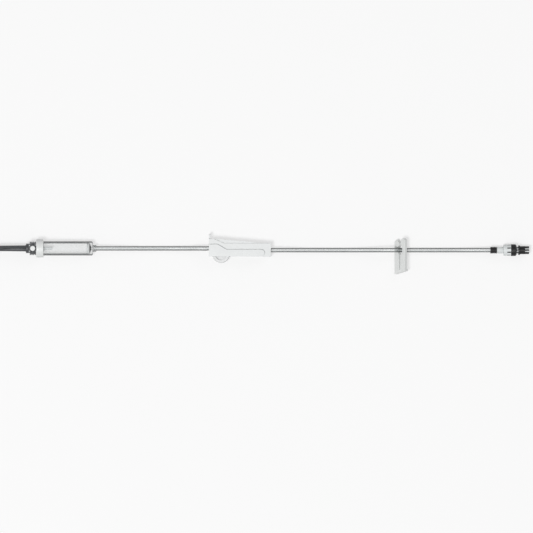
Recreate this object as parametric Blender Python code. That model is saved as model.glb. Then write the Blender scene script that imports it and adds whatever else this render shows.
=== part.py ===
"""Gravity infusion line with a vented spike, lying straight on a flat surface.

Metres, +Z up. The line runs along X, from the spike at -X to the capped connector at +X, and the
surface is z = 0. The drip chamber lies on its cap and on the far end of its barrel, so its axis
slopes a little. The roller clamp lies on its side, with its open edge towards -Y. The slide clamp
leans on its lower edge, and the tube comes over that edge and dives through the hole.
"""

import math

import bmesh
import bpy
from mathutils import Matrix, Vector
from mathutils.geometry import interpolate_bezier

# Where the pieces sit along the line
OUTLET_X = -0.16435
ROLLER_CLAMP_X = -0.05165
SLIDE_CLAMP_X = 0.14081
CONNECTOR_X = 0.22995
LINE_Y = 0.00585

# Clearances
FACE_GAP = 0.0003
RUNNING_GAP = 0.00015
TUBE_GAP = 0.0003

# Tube
TUBE_OD = 0.0043
FLUID_BORE = 0.0030
TUBE_STEP = 0.0092
TUBE_END_STEP = 0.0008
TUBE_TURN = math.radians(7)

# Spike, with its two lumens side by side
SHAFT_LENGTH = 0.0340
SHAFT_OD = 0.0062
SHAFT_TIP_OD = 0.0054
BEVEL_LENGTH = 0.0110
LUMEN_OD = 0.0015
LUMEN_OFFSET = 0.00125
RISER_OD = 0.0012
GROOVE_WIDTH = 0.0009
GROOVE_DEPTH = 0.0005
FLANGE_LENGTH = 0.0024
FLANGE_OD = 0.0095

# Vent body, with ribs on its two ends and the port on its front
BODY_LENGTH = 0.0078
BODY_NECK_LENGTH = 0.0014
BODY_NECK_WIDTH = 0.0094
BODY_WIDTH = 0.0134
BODY_HEIGHT = 0.0084
BODY_EDGE = 0.0012
BODY_RIBS = 4
BODY_RIB_DEPTH = 0.0009
BODY_RIB_GAP = 0.0006
PORT_SETBACK = 0.0036
PORT_OD = 0.0060
PORT_BORE = 0.0046
PORT_TOP = 0.0060
PORT_FLOOR = 0.0034
FILTER_THICK = 0.0006

# Vent lid and its hinge
LID_OD = 0.0064
LID_THICK = 0.0014
LID_DISH_OD = 0.0050
LID_DISH_DEPTH = 0.0004
LID_PLUG_LENGTH = 0.0010
LID_TAB_LENGTH = 0.0012
LID_TAB_WIDTH = 0.0026
HINGE_OFFSET = 0.0042
HINGE_HEIGHT = 0.0066
HINGE_BAR_OD = 0.0010
KNUCKLE_OD = 0.0020
KNUCKLE_WIDTH = 0.0022
KNUCKLE_MOUTH = 0.0008
EAR_THICK = 0.0008

# Chamber cap
CAP_LENGTH = 0.0072
CAP_OD = 0.0182
CAP_WALL = 0.0022
CAP_EDGE = 0.0006
NOZZLE_SEAT_OD = 0.0048
SPIGOT_LENGTH = 0.0018

# Drip nozzle
NOZZLE_OD = 0.0032
NOZZLE_BORE = 0.0013
NOZZLE_LENGTH = 0.0090
NOZZLE_COLLAR_OD = 0.0062
NOZZLE_COLLAR_LENGTH = 0.0010

# Drip chamber barrel and its outlet neck
BARREL_LENGTH = 0.0493
BARREL_OD = 0.0142
BARREL_WALL = 0.0010
BARREL_END_WALL = 0.0014
BARREL_EDGE = 0.0010
FUNNEL_LENGTH = 0.0020
NECK_LENGTH = 0.0035
NECK_OD = 0.0067
SOCKET_DEPTH = 0.0031

# Fluid filter at the bottom of the chamber
FILTER_SEAT = 0.0009
FILTER_RING_LENGTH = 0.0014
FILTER_RING_WIDTH = 0.0017
FILTER_REBATE = 0.0009
MESH_THICK = 0.0004

# Roller clamp housing: heights are measured from its open edge, widths from its middle plane
CLAMP_LENGTH = 0.0620
CLAMP_HEIGHT = 0.0130
CLAMP_END_HEIGHT = 0.0176
CLAMP_WALL_OUT = 0.0060
CLAMP_CHANNEL_HALF = 0.0046
CLAMP_STEP = 0.0006
CLAMP_END_WALL = 0.0016
CLAMP_END_PLATE = 0.0021
SHOULDER_LENGTH = 0.0051
SHOULDER_END = 0.0155
RAMP_BACK_START = 0.0107
RAMP_BACK_END = 0.0546
RAMP_BACK_HEIGHT = 0.0134
TAB_HEIGHT = 0.0222
TAB_HALF_WIDTH = 0.0044
TAB_CORNER = 0.0012
PANEL_PROUD = 0.0008
PANEL_HEIGHT = 0.0070
PANEL_END_HEIGHT = 0.0122
PANEL_SLOPE_START = 0.0088
PANEL_SLOPE_END = 0.0178
PANEL_ROUND_END = 0.0557
ENTRY_HEIGHT = 0.0080
EXIT_HEIGHT = 0.00625
HOLE_CLEARANCE = 0.00070
ENTRY_HOLE_LIFT = 0.00085
END_BAR_LENGTH = 0.0077
END_BAR_THICK = 0.0021
END_BAR_PROUD = 0.0002

# Roller: wheel on its axle, which runs in a track in each side wall
TRACK_START = 0.0122
TRACK_HEIGHT = 0.0022
TRACK_DEPTH = 0.0012
ROLLER_TRAVEL = 0.0325
AXLE_OD = 0.0024
WHEEL_OD = 0.0176
WHEEL_WIDTH = 0.0082
WHEEL_TEETH = 24
TOOTH_DEPTH = 0.0006
WHEEL_RIM = 0.0029
WHEEL_HUB_OD = 0.0046
WEB_RECESS = 0.0012
OPEN_GAP = 0.0049
CLOSED_GAP = 0.0014
ENTRY_BEND = 0.0102
RAMP_POINT = 0.65

# Slide clamp: U runs across the plate and V along it
SLIDE_WIDTH = 0.0142
SLIDE_LENGTH = 0.0358
SLIDE_THICK = 0.0036
SLIDE_LEAN = math.radians(45)
SLIDE_EDGE = 0.0003
SLIDE_END_RISE = 0.0030
SLIDE_FOOT = 0.0016
SLIDE_FOOT_HEIGHT = 0.0024
SLIDE_FOOT_WIDTH = 0.0026
TUBE_V = 0.0241
HOLE_LEFT_U = 0.0052
HOLE_RIGHT_U = 0.0106
HOLE_LOW_V = 0.0215
HOLE_TOP_V = 0.0286
HOLE_CORNER = 0.0012
SLOT_U = 0.0070
SLOT_TOP_V = 0.0196
SLOT_LOW_V = 0.0053
SLOT_TOP_WIDTH = 0.0020
SLOT_LOW_WIDTH = 0.0014
MOUTH_U = 0.0076
MOUTH_V = 0.0303
MOUTH_WIDTH = 0.0008
LEFT_PEAK = (0.0037, 0.0349)
LEFT_SHOULDER_V = 0.0328
RIGHT_PRONG_U = 0.0083
RIGHT_PRONG_CORNER = 0.0026
DIVE_ANGLE = math.radians(35)
DIVE_BEND = 0.0130
PINCH_REACH = 0.0060

# Connector: stations run from the mouth of the sleeve
SLEEVE_LENGTH = 0.0063
SLEEVE_OD = 0.0069
SLEEVE_RIBS = 6
SLEEVE_RIB_DEPTH = 0.0005
SLEEVE_RIB_SLOPE = 0.0001
HUB_LENGTH = 0.0066
HUB_OD = 0.0065
HUB_NECK_OD = 0.0055
HUB_FLANGE_OD = 0.0072
HUB_FLANGE_LENGTH = 0.0012
CONE_TIP_OD = 0.00395
CONE_TAPER = 0.06
CONE_REACH = 0.0014
CONE_BORE = 0.0022
COLLAR_LENGTH = 0.0131
COLLAR_OD = 0.0112
COLLAR_GRIP_OD = 0.0117
COLLAR_BORE = 0.0082
COLLAR_BACK_WALL = 0.0020
COLLAR_BAND = 0.0038
COLLAR_SLOT_LENGTH = 0.0039
COLLAR_CHAMFER = 0.0009
COLLAR_STEP = 0.0002
GRIP_SLOTS = 8
GRIP_SLOT_DEPTH = 0.0008
KNURL_DEPTH = 0.0004
KNURL_PER_SLOT = 4
CAP_WAIST_LENGTH = 0.0018
CAP_WAIST_OD = 0.0066
CAP_SKIRT_GAP = 0.0004
CAP_SKIRT_OD = 0.0074
CAP_FLANGE_LENGTH = 0.0017
CAP_FLANGE_OD = 0.0096
CAP_GRIP_LENGTH = 0.0050
CAP_FINGER_LENGTH = 0.0041
CAP_GRIP_OD = 0.0080
CAP_FINGER_DEPTH = 0.0016
CAP_STEP = 0.0001
CAP_BORE_SPARE = 0.0012

# Facets
ROUND_SIDES = 36
SMALL_SIDES = 20
HOLE_SIDES = 24
TUBE_RESOLUTION = 3
GROOVE_SHARE = 0.5
SLOT_SHARE = 0.3
GROOVE_FLOOR = 0.3

# Worked out from the sizes above
TUBE_R = TUBE_OD / 2
SOCKET_R = TUBE_R + TUBE_GAP
CLAMP_Y = LINE_Y - ENTRY_HEIGHT
CLAMP_Z = CLAMP_WALL_OUT + PANEL_PROUD
EXIT_Y = CLAMP_Y + EXIT_HEIGHT
CONNECTOR_Z = COLLAR_GRIP_OD / 2

SHOULDER_X = -NECK_LENGTH
RIM_X = SHOULDER_X - BARREL_LENGTH
CAP_X = RIM_X - CAP_LENGTH
BODY_X = CAP_X - BODY_LENGTH
FLANGE_X = BODY_X - FLANGE_LENGTH
TIP_X = FLANGE_X - SHAFT_LENGTH
PORT_X = CAP_X - PORT_SETBACK
CHAMBER_TILT = math.atan2(CAP_OD / 2 - BARREL_OD / 2, BARREL_LENGTH - BARREL_EDGE + CAP_EDGE)
OUTLET_Z = BARREL_OD / 2 * math.cos(CHAMBER_TILT) - (NECK_LENGTH + BARREL_EDGE) * math.sin(CHAMBER_TILT)
HUB_SOCKET_END = SLEEVE_LENGTH + HUB_LENGTH - FACE_GAP - (HUB_OD - HUB_NECK_OD)

# The tube's free stretches, as (x, z) points chosen by hand: it is straight seen from above
FLOOR = TUBE_R
UPPER_ROUTE = [(-0.1560, 0.00655), (-0.1480, 0.00580), (-0.1400, 0.00480), (-0.1320, 0.00370),
               (-0.1240, 0.00280), (-0.1160, 0.00230), (-0.1080, FLOOR), (-0.0980, FLOOR),
               (-0.0900, 0.00230), (-0.0820, 0.00290), (-0.0740, 0.00400), (-0.0670, 0.00525),
               (-0.0600, 0.00640)]
MIDDLE_ROUTE = [(0.0240, 0.00580), (0.0320, 0.00470), (0.0400, 0.00350), (0.0480, 0.00265),
                (0.0560, 0.00225), (0.0640, FLOOR), (0.0740, FLOOR), (0.0860, 0.00225),
                (0.0940, 0.00280), (0.1020, 0.00400), (0.1100, 0.00580), (0.1180, 0.00780),
                (0.1250, 0.00945)]
LOWER_ROUTE = [(0.1620, FLOOR), (0.1750, FLOOR), (0.1880, FLOOR), (0.1960, 0.00235),
               (0.2040, 0.00300), (0.2120, 0.00410), (0.2200, 0.00520)]


def clear_scene():
    for obj in list(bpy.data.objects):
        bpy.data.objects.remove(obj, do_unlink=True)


def plastic(name, colour, roughness, alpha=1.0, transmission=0.0):
    """A moulded plastic, with its colour as linear values."""
    material = bpy.data.materials.new(name)
    material.use_nodes = True
    shader = material.node_tree.nodes["Principled BSDF"]
    shader.inputs["Base Color"].default_value = (*colour, 1.0)
    shader.inputs["Roughness"].default_value = roughness
    shader.inputs["Metallic"].default_value = 0.0
    shader.inputs["Alpha"].default_value = alpha
    shader.inputs["Transmission Weight"].default_value = transmission
    material.diffuse_color = (*colour, alpha)
    return material


def make_materials():
    return {
        "white": plastic("white_abs", (0.86, 0.87, 0.86), 0.35),
        "grey": plastic("grey_abs", (0.105, 0.109, 0.117), 0.35),
        "housing": plastic("white_polystyrene", (0.88, 0.89, 0.90), 0.30),
        "roller": plastic("roller_acetal", (0.80, 0.82, 0.84), 0.40),
        "natural": plastic("natural_polypropylene", (0.78, 0.80, 0.80), 0.30),
        "dark": plastic("charcoal_polypropylene", (0.03, 0.03, 0.032), 0.45),
        "chamber": plastic("clear_pvc", (0.85, 0.90, 0.92), 0.08, 0.35, 1.0),
        "tube": plastic("soft_clear_pvc", (0.85, 0.90, 0.92), 0.12, 0.45, 1.0),
        "filter": plastic("filter_media", (0.82, 0.84, 0.86), 0.80),
    }


def place(bm, name, material=None, parent=None, at=(0, 0, 0)):
    """Turn a bmesh into a named object, shaded smooth where its faces meet softly."""
    bmesh.ops.recalc_face_normals(bm, faces=bm.faces)
    mesh = bpy.data.meshes.new(name)
    bm.to_mesh(mesh)
    bm.free()
    mesh.shade_smooth()
    mesh.set_sharp_from_angle(angle=math.radians(35))
    obj = bpy.data.objects.new(name, mesh)
    bpy.context.scene.collection.objects.link(obj)
    obj.location = at
    if parent:
        obj.parent = parent
    if material:
        mesh.materials.append(material)
    return obj


def empty(name, location, rotation=(0, 0, 0), parent=None):
    obj = bpy.data.objects.new(name, None)
    bpy.context.scene.collection.objects.link(obj)
    obj.location = location
    obj.rotation_euler = rotation
    obj.parent = parent
    return obj


def combine(target, operation, shapes):
    """Add or cut each shape with an exact Boolean; the shapes themselves stay as guides."""
    for shape in shapes:
        modifier = target.modifiers.new(shape.name, "BOOLEAN")
        modifier.operation = operation
        modifier.solver = "EXACT"
        modifier.object = shape
        shape.hide_render = True
        shape.display_type = "WIRE"


def bevelled(obj, width, angle):
    modifier = obj.modifiers.new("edges", "BEVEL")
    modifier.width = width
    modifier.segments = 2
    modifier.limit_method = "ANGLE"
    modifier.angle_limit = angle


def turn_axis(bm, axis):
    """Turn a shape made about X, or extruded along Z, to lie along another axis."""
    turns = {"XZ": Matrix.Rotation(-math.pi / 2, 4, "Y"), "ZX": Matrix(((0, 0, 1, 0), (1, 0, 0, 0),
                                                                       (0, 1, 0, 0), (0, 0, 0, 1)))}
    bmesh.ops.transform(bm, matrix=turns[axis], verts=bm.verts)


def turned(profile, sides=ROUND_SIDES, about="X", centre=(0, 0, 0)):
    """A solid turned about X or Z from its outline of (station, radius) points.

    An outline whose two ends lie on the axis is left open there; any other is a closed ring.
    """
    bm = bmesh.new()
    verts = [bm.verts.new((x, 0, r)) for x, r in profile]
    pairs = list(zip(verts, verts[1:]))
    if profile[0][1] > 0 or profile[-1][1] > 0:
        pairs.append((verts[-1], verts[0]))
    edges = [bm.edges.new(pair) for pair in pairs]
    bmesh.ops.spin(bm, geom=verts + edges, cent=(0, 0, 0), axis=(1, 0, 0), angle=2 * math.pi,
                   steps=sides, use_merge=True)
    bmesh.ops.remove_doubles(bm, verts=bm.verts, dist=1e-7)
    if about == "Z":
        turn_axis(bm, "XZ")
    bmesh.ops.translate(bm, verts=bm.verts, vec=centre)
    return bm


def rod(start, end, radius, sides=HOLE_SIDES, about="X", centre=(0, 0, 0)):
    return turned([(start, 0), (start, radius), (end, radius), (end, 0)], sides, about, centre)


def prism(outline, low, high, along="Z"):
    """A closed outline extruded along Z, or along X from an outline of (y, z) points."""
    bm = bmesh.new()
    face = bm.faces.new([bm.verts.new((a, b, low)) for a, b in outline])
    geom = bmesh.ops.extrude_face_region(bm, geom=[face])["geom"]
    raised = [v for v in geom if isinstance(v, bmesh.types.BMVert)]
    bmesh.ops.translate(bm, verts=raised, vec=(0, 0, high - low))
    if along == "X":
        turn_axis(bm, "ZX")
    return bm


def block(low, high):
    """A box between two corners."""
    outline = [(low[0], low[1]), (high[0], low[1]), (high[0], high[1]), (low[0], high[1])]
    return prism(outline, low[2], high[2])


def arc(centre, radius, start, end, steps):
    """Points on a round stretch of an outline; the angles are in degrees."""
    angles = [math.radians(start + (end - start) * k / steps) for k in range(steps + 1)]
    return [(centre[0] + radius * math.cos(a), centre[1] + radius * math.sin(a)) for a in angles]


def fluted(radius, depths, share=GROOVE_SHARE):
    """The outline of a round bar with one groove for each depth, evenly spaced.

    The first groove is centred half a pitch from the +Y direction, and each is share of a pitch wide.
    """
    pitch = 2 * math.pi / len(depths)
    outline = []
    for k, depth in enumerate(depths):
        middle = (k + 0.5) * pitch
        floor_r = radius - depth
        for offset, r in ((-0.5, radius), (-GROOVE_FLOOR, floor_r), (GROOVE_FLOOR, floor_r), (0.5, radius)):
            angle = middle + offset * share * pitch
            outline.append((r * math.cos(angle), r * math.sin(angle)))
    return outline


def make_spike(frame, materials):
    """One moulding: bevelled shaft with two lumens, stop flange, vent body, port and hinge ears."""
    half = SHAFT_OD / 2
    shaft = turned([(TIP_X, 0), (TIP_X, SHAFT_TIP_OD / 2), (FLANGE_X, half), (FLANGE_X, FLANGE_OD / 2),
                    (BODY_X, FLANGE_OD / 2), (BODY_X, half), (BODY_X + BODY_LENGTH / 2, half),
                    (BODY_X + BODY_LENGTH / 2, 0)])
    spike = place(shaft, "spike", materials["grey"], frame)

    wide_x = BODY_X + BODY_NECK_LENGTH
    end_x = CAP_X - FACE_GAP
    body = place(prism(ribbed_outline(wide_x, end_x), -BODY_HEIGHT / 2, BODY_HEIGHT / 2),
                 "vent_body_shape", None, frame)
    neck_half = BODY_NECK_WIDTH / 2
    neck = place(block((BODY_X - FACE_GAP, -neck_half, -BODY_HEIGHT / 2 + BODY_EDGE / 2),
                       (wide_x + FACE_GAP, neck_half, BODY_HEIGHT / 2 - BODY_EDGE / 2)),
                 "vent_body_neck", None, frame)
    spigot_r = NOZZLE_SEAT_OD / 2 - FACE_GAP
    spigot = place(rod(end_x - BODY_LENGTH / 4, CAP_X + SPIGOT_LENGTH, spigot_r), "spike_spigot",
                   None, frame)
    port = place(rod(BODY_HEIGHT / 4, PORT_TOP, PORT_OD / 2, ROUND_SIDES, "Z", (PORT_X, 0, 0)),
                 "vent_port", None, frame)
    ears = [place(ear_shape(side), f"hinge_ear_{index}", None, frame)
            for index, side in enumerate((-1, 1))]
    reach = KNUCKLE_WIDTH / 2 + FACE_GAP + EAR_THICK / 2
    bar = place(rod(PORT_X - reach, PORT_X + reach, HINGE_BAR_OD / 2, SMALL_SIDES, "X",
                    (0, -HINGE_OFFSET, HINGE_HEIGHT)), "hinge_bar", None, frame)
    combine(spike, "UNION", [neck, body, spigot, port, *ears, bar])

    bevel = place(bevel_shape(), "spike_bevel", None, frame)
    grooves = [place(block((TIP_X + BEVEL_LENGTH, -GROOVE_WIDTH / 2, side * half - GROOVE_DEPTH),
                           (FLANGE_X - FACE_GAP, GROOVE_WIDTH / 2, side * half + GROOVE_DEPTH)),
                     f"shaft_groove_{index}", None, frame)
               for index, side in enumerate((-1, 1))]
    fluid = place(rod(TIP_X - FACE_GAP, CAP_X + 2 * SPIGOT_LENGTH, LUMEN_OD / 2, SMALL_SIDES, "X",
                      (0, -LUMEN_OFFSET, 0)), "fluid_lumen", None, frame)
    air = place(rod(TIP_X - FACE_GAP, PORT_X + RISER_OD, LUMEN_OD / 2, SMALL_SIDES, "X",
                    (0, LUMEN_OFFSET, 0)), "air_lumen", None, frame)
    riser = place(rod(0, PORT_FLOOR + FACE_GAP, RISER_OD / 2, SMALL_SIDES, "Z",
                      (PORT_X, LUMEN_OFFSET, 0)), "air_riser", None, frame)
    bore = place(rod(PORT_FLOOR, PORT_TOP + FACE_GAP, PORT_BORE / 2, ROUND_SIDES, "Z",
                     (PORT_X, 0, 0)), "vent_port_bore", None, frame)
    combine(spike, "DIFFERENCE", [bevel, *grooves, fluid, air, riser, bore])
    return spike


def ribbed_outline(start, end):
    """The vent body seen from the front, with grip ribs cut into its two ends."""
    half = BODY_WIDTH / 2
    pitch = (end - start + BODY_RIB_GAP) / BODY_RIBS
    edge = []
    for k in range(BODY_RIBS):
        left = start + k * pitch
        right = left + pitch - BODY_RIB_GAP
        edge += [(left, half), (right, half)]
        if k < BODY_RIBS - 1:
            edge += [(right, half - BODY_RIB_DEPTH), (left + pitch, half - BODY_RIB_DEPTH)]
    return edge + [(x, -y) for x, y in reversed(edge)]


def ear_shape(side):
    """A plate beside the lid's knuckle, with a round top about the hinge bar."""
    radius = KNUCKLE_OD / 2
    middle = (-HINGE_OFFSET, HINGE_HEIGHT)
    outline = [(middle[0] - radius, BODY_HEIGHT / 4)]
    outline += arc(middle, radius, 180, 0, 8)
    outline += [(middle[0] + radius, BODY_HEIGHT / 4)]
    inner = PORT_X + side * (KNUCKLE_WIDTH / 2 + FACE_GAP)
    outer = inner + side * EAR_THICK
    return prism(outline, min(inner, outer), max(inner, outer), "X")


def bevel_shape():
    """The wedge cut off the tip, which leaves a slanted face that looks forward."""
    half = SHAFT_TIP_OD / 2 + FACE_GAP
    deep = BEVEL_LENGTH + SHAFT_OD
    slope = SHAFT_TIP_OD / BEVEL_LENGTH
    low = TIP_X - FACE_GAP
    outline = [(low, -SHAFT_TIP_OD / 2 - FACE_GAP * slope), (low + deep, -SHAFT_TIP_OD / 2 + deep * slope),
               (low, -SHAFT_TIP_OD / 2 + deep * slope)]
    bm = prism(outline, -2 * half, 2 * half)
    bmesh.ops.rotate(bm, cent=(0, 0, 0), matrix=Matrix.Rotation(math.pi / 2, 3, "X"), verts=bm.verts)
    return bm


def make_vent(frame, materials):
    """The vent's filter disc, and its lid on the hinge bar."""
    disc_low = PORT_FLOOR + FACE_GAP
    place(rod(disc_low, disc_low + FILTER_THICK, PORT_BORE / 2 - FACE_GAP, ROUND_SIDES, "Z",
              (PORT_X, 0, 0)), "vent_filter", materials["filter"], frame)

    hinge = empty("vent_hinge", (PORT_X, -HINGE_OFFSET, HINGE_HEIGHT), parent=frame)
    base = PORT_TOP + FACE_GAP - HINGE_HEIGHT
    top = base + LID_THICK
    dish = LID_DISH_OD / 2
    disc = turned([(base - LID_PLUG_LENGTH, 0), (base - LID_PLUG_LENGTH, PORT_BORE / 2 - FACE_GAP),
                   (base, PORT_BORE / 2 - FACE_GAP), (base, LID_OD / 2), (top, LID_OD / 2),
                   (top, dish), (top - LID_DISH_DEPTH, dish - LID_DISH_DEPTH),
                   (top - LID_DISH_DEPTH, 0)], ROUND_SIDES, "Z", (0, HINGE_OFFSET, 0))
    lid = place(disc, "vent_lid", materials["grey"], hinge)
    tab_root = HINGE_OFFSET + LID_OD / 2 - LID_DISH_DEPTH
    tab = place(block((-LID_TAB_WIDTH / 2, tab_root, base + LID_THICK / 4),
                      (LID_TAB_WIDTH / 2, tab_root + LID_TAB_LENGTH, top - LID_THICK / 4)),
                "lid_tab", None, hinge)
    half = KNUCKLE_WIDTH / 2
    knuckle = place(rod(-half, half, KNUCKLE_OD / 2, HOLE_SIDES), "lid_knuckle", None, hinge)
    arm = place(block((-half, 0, base + LID_THICK / 8),
                      (half, HINGE_OFFSET - LID_DISH_OD / 2 - LID_DISH_DEPTH, top - LID_THICK / 8)),
                "lid_arm", None, hinge)
    combine(lid, "UNION", [tab, knuckle, arm])
    bore = place(rod(-KNUCKLE_WIDTH, KNUCKLE_WIDTH, HINGE_BAR_OD / 2 + RUNNING_GAP, HOLE_SIDES),
                 "lid_knuckle_bore", None, hinge)
    mouth = place(block((-KNUCKLE_WIDTH, -KNUCKLE_OD, -KNUCKLE_MOUTH / 2),
                        (KNUCKLE_WIDTH, 0, KNUCKLE_MOUTH / 2)), "lid_knuckle_mouth", None, hinge)
    combine(lid, "DIFFERENCE", [bore, mouth])


def make_chamber(frame, materials):
    """Cap, nozzle, barrel and fluid filter, all round about the chamber's axis."""
    barrel_r, inside_r = BARREL_OD / 2, BARREL_OD / 2 - BARREL_WALL
    recess_x = CAP_X + CAP_WALL
    barrel_x = recess_x + FACE_GAP
    plug_x = RIM_X - CAP_EDGE
    cap_r, seat_r = CAP_OD / 2, NOZZLE_SEAT_OD / 2
    cap = turned([(CAP_X, seat_r), (CAP_X, cap_r - CAP_EDGE), (CAP_X + CAP_EDGE / 3, cap_r - CAP_EDGE / 3),
                  (CAP_X + CAP_EDGE, cap_r), (RIM_X - CAP_EDGE, cap_r),
                  (RIM_X - CAP_EDGE / 3, cap_r - CAP_EDGE / 3), (RIM_X, cap_r - CAP_EDGE),
                  (RIM_X, barrel_r + FACE_GAP), (recess_x, barrel_r + FACE_GAP),
                  (recess_x, inside_r - FACE_GAP), (plug_x, inside_r - FACE_GAP), (plug_x, seat_r)])
    place(cap, "chamber_cap", materials["white"], frame)

    tail_x = CAP_X + SPIGOT_LENGTH + FACE_GAP
    collar_x = plug_x + FACE_GAP
    nozzle = turned([(tail_x, NOZZLE_BORE / 2), (tail_x, seat_r - FACE_GAP),
                     (collar_x, seat_r - FACE_GAP), (collar_x, NOZZLE_COLLAR_OD / 2),
                     (collar_x + NOZZLE_COLLAR_LENGTH, NOZZLE_COLLAR_OD / 2),
                     (collar_x + NOZZLE_COLLAR_LENGTH, NOZZLE_OD / 2),
                     (collar_x + NOZZLE_LENGTH, NOZZLE_OD / 2 - FACE_GAP),
                     (collar_x + NOZZLE_LENGTH, NOZZLE_BORE / 2)], HOLE_SIDES)
    place(nozzle, "drip_nozzle", materials["natural"], frame)

    end_x = SHOULDER_X - BARREL_END_WALL
    barrel = turned([(barrel_x, inside_r), (barrel_x, barrel_r), (SHOULDER_X - BARREL_EDGE, barrel_r),
                     (SHOULDER_X - BARREL_EDGE / 3, barrel_r - BARREL_EDGE / 3),
                     (SHOULDER_X, barrel_r - BARREL_EDGE), (SHOULDER_X, NECK_OD / 2), (0, NECK_OD / 2),
                     (0, SOCKET_R), (-SOCKET_DEPTH, SOCKET_R), (-SOCKET_DEPTH, FLUID_BORE / 2),
                     (end_x, FLUID_BORE / 2), (end_x - FUNNEL_LENGTH, inside_r)])
    place(barrel, "drip_chamber", materials["chamber"], frame)

    ring_end = end_x - FUNNEL_LENGTH - FILTER_SEAT
    ring_x = ring_end - FILTER_RING_LENGTH
    ring_r = inside_r - FACE_GAP
    hole_r = ring_r - FILTER_RING_WIDTH
    rebate_x = ring_end - FILTER_RING_LENGTH / 2
    ring = turned([(ring_x, hole_r + FILTER_REBATE), (ring_x, ring_r), (ring_end, ring_r),
                   (ring_end, hole_r), (rebate_x, hole_r), (rebate_x, hole_r + FILTER_REBATE)])
    place(ring, "filter_ring", materials["natural"], frame)
    mesh_x = rebate_x - FACE_GAP
    place(rod(mesh_x - MESH_THICK, mesh_x, hole_r + FILTER_REBATE - FACE_GAP, ROUND_SIDES),
          "filter_mesh", materials["filter"], frame)


def ramp_height(station):
    """How far the ramp's inner face lies above the open edge, at a distance from the entry face."""
    wheel_top = TRACK_HEIGHT + WHEEL_OD / 2
    travelled = max(0.0, station - TRACK_START)
    return wheel_top + OPEN_GAP - travelled * (OPEN_GAP - CLOSED_GAP) / ROLLER_TRAVEL


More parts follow.
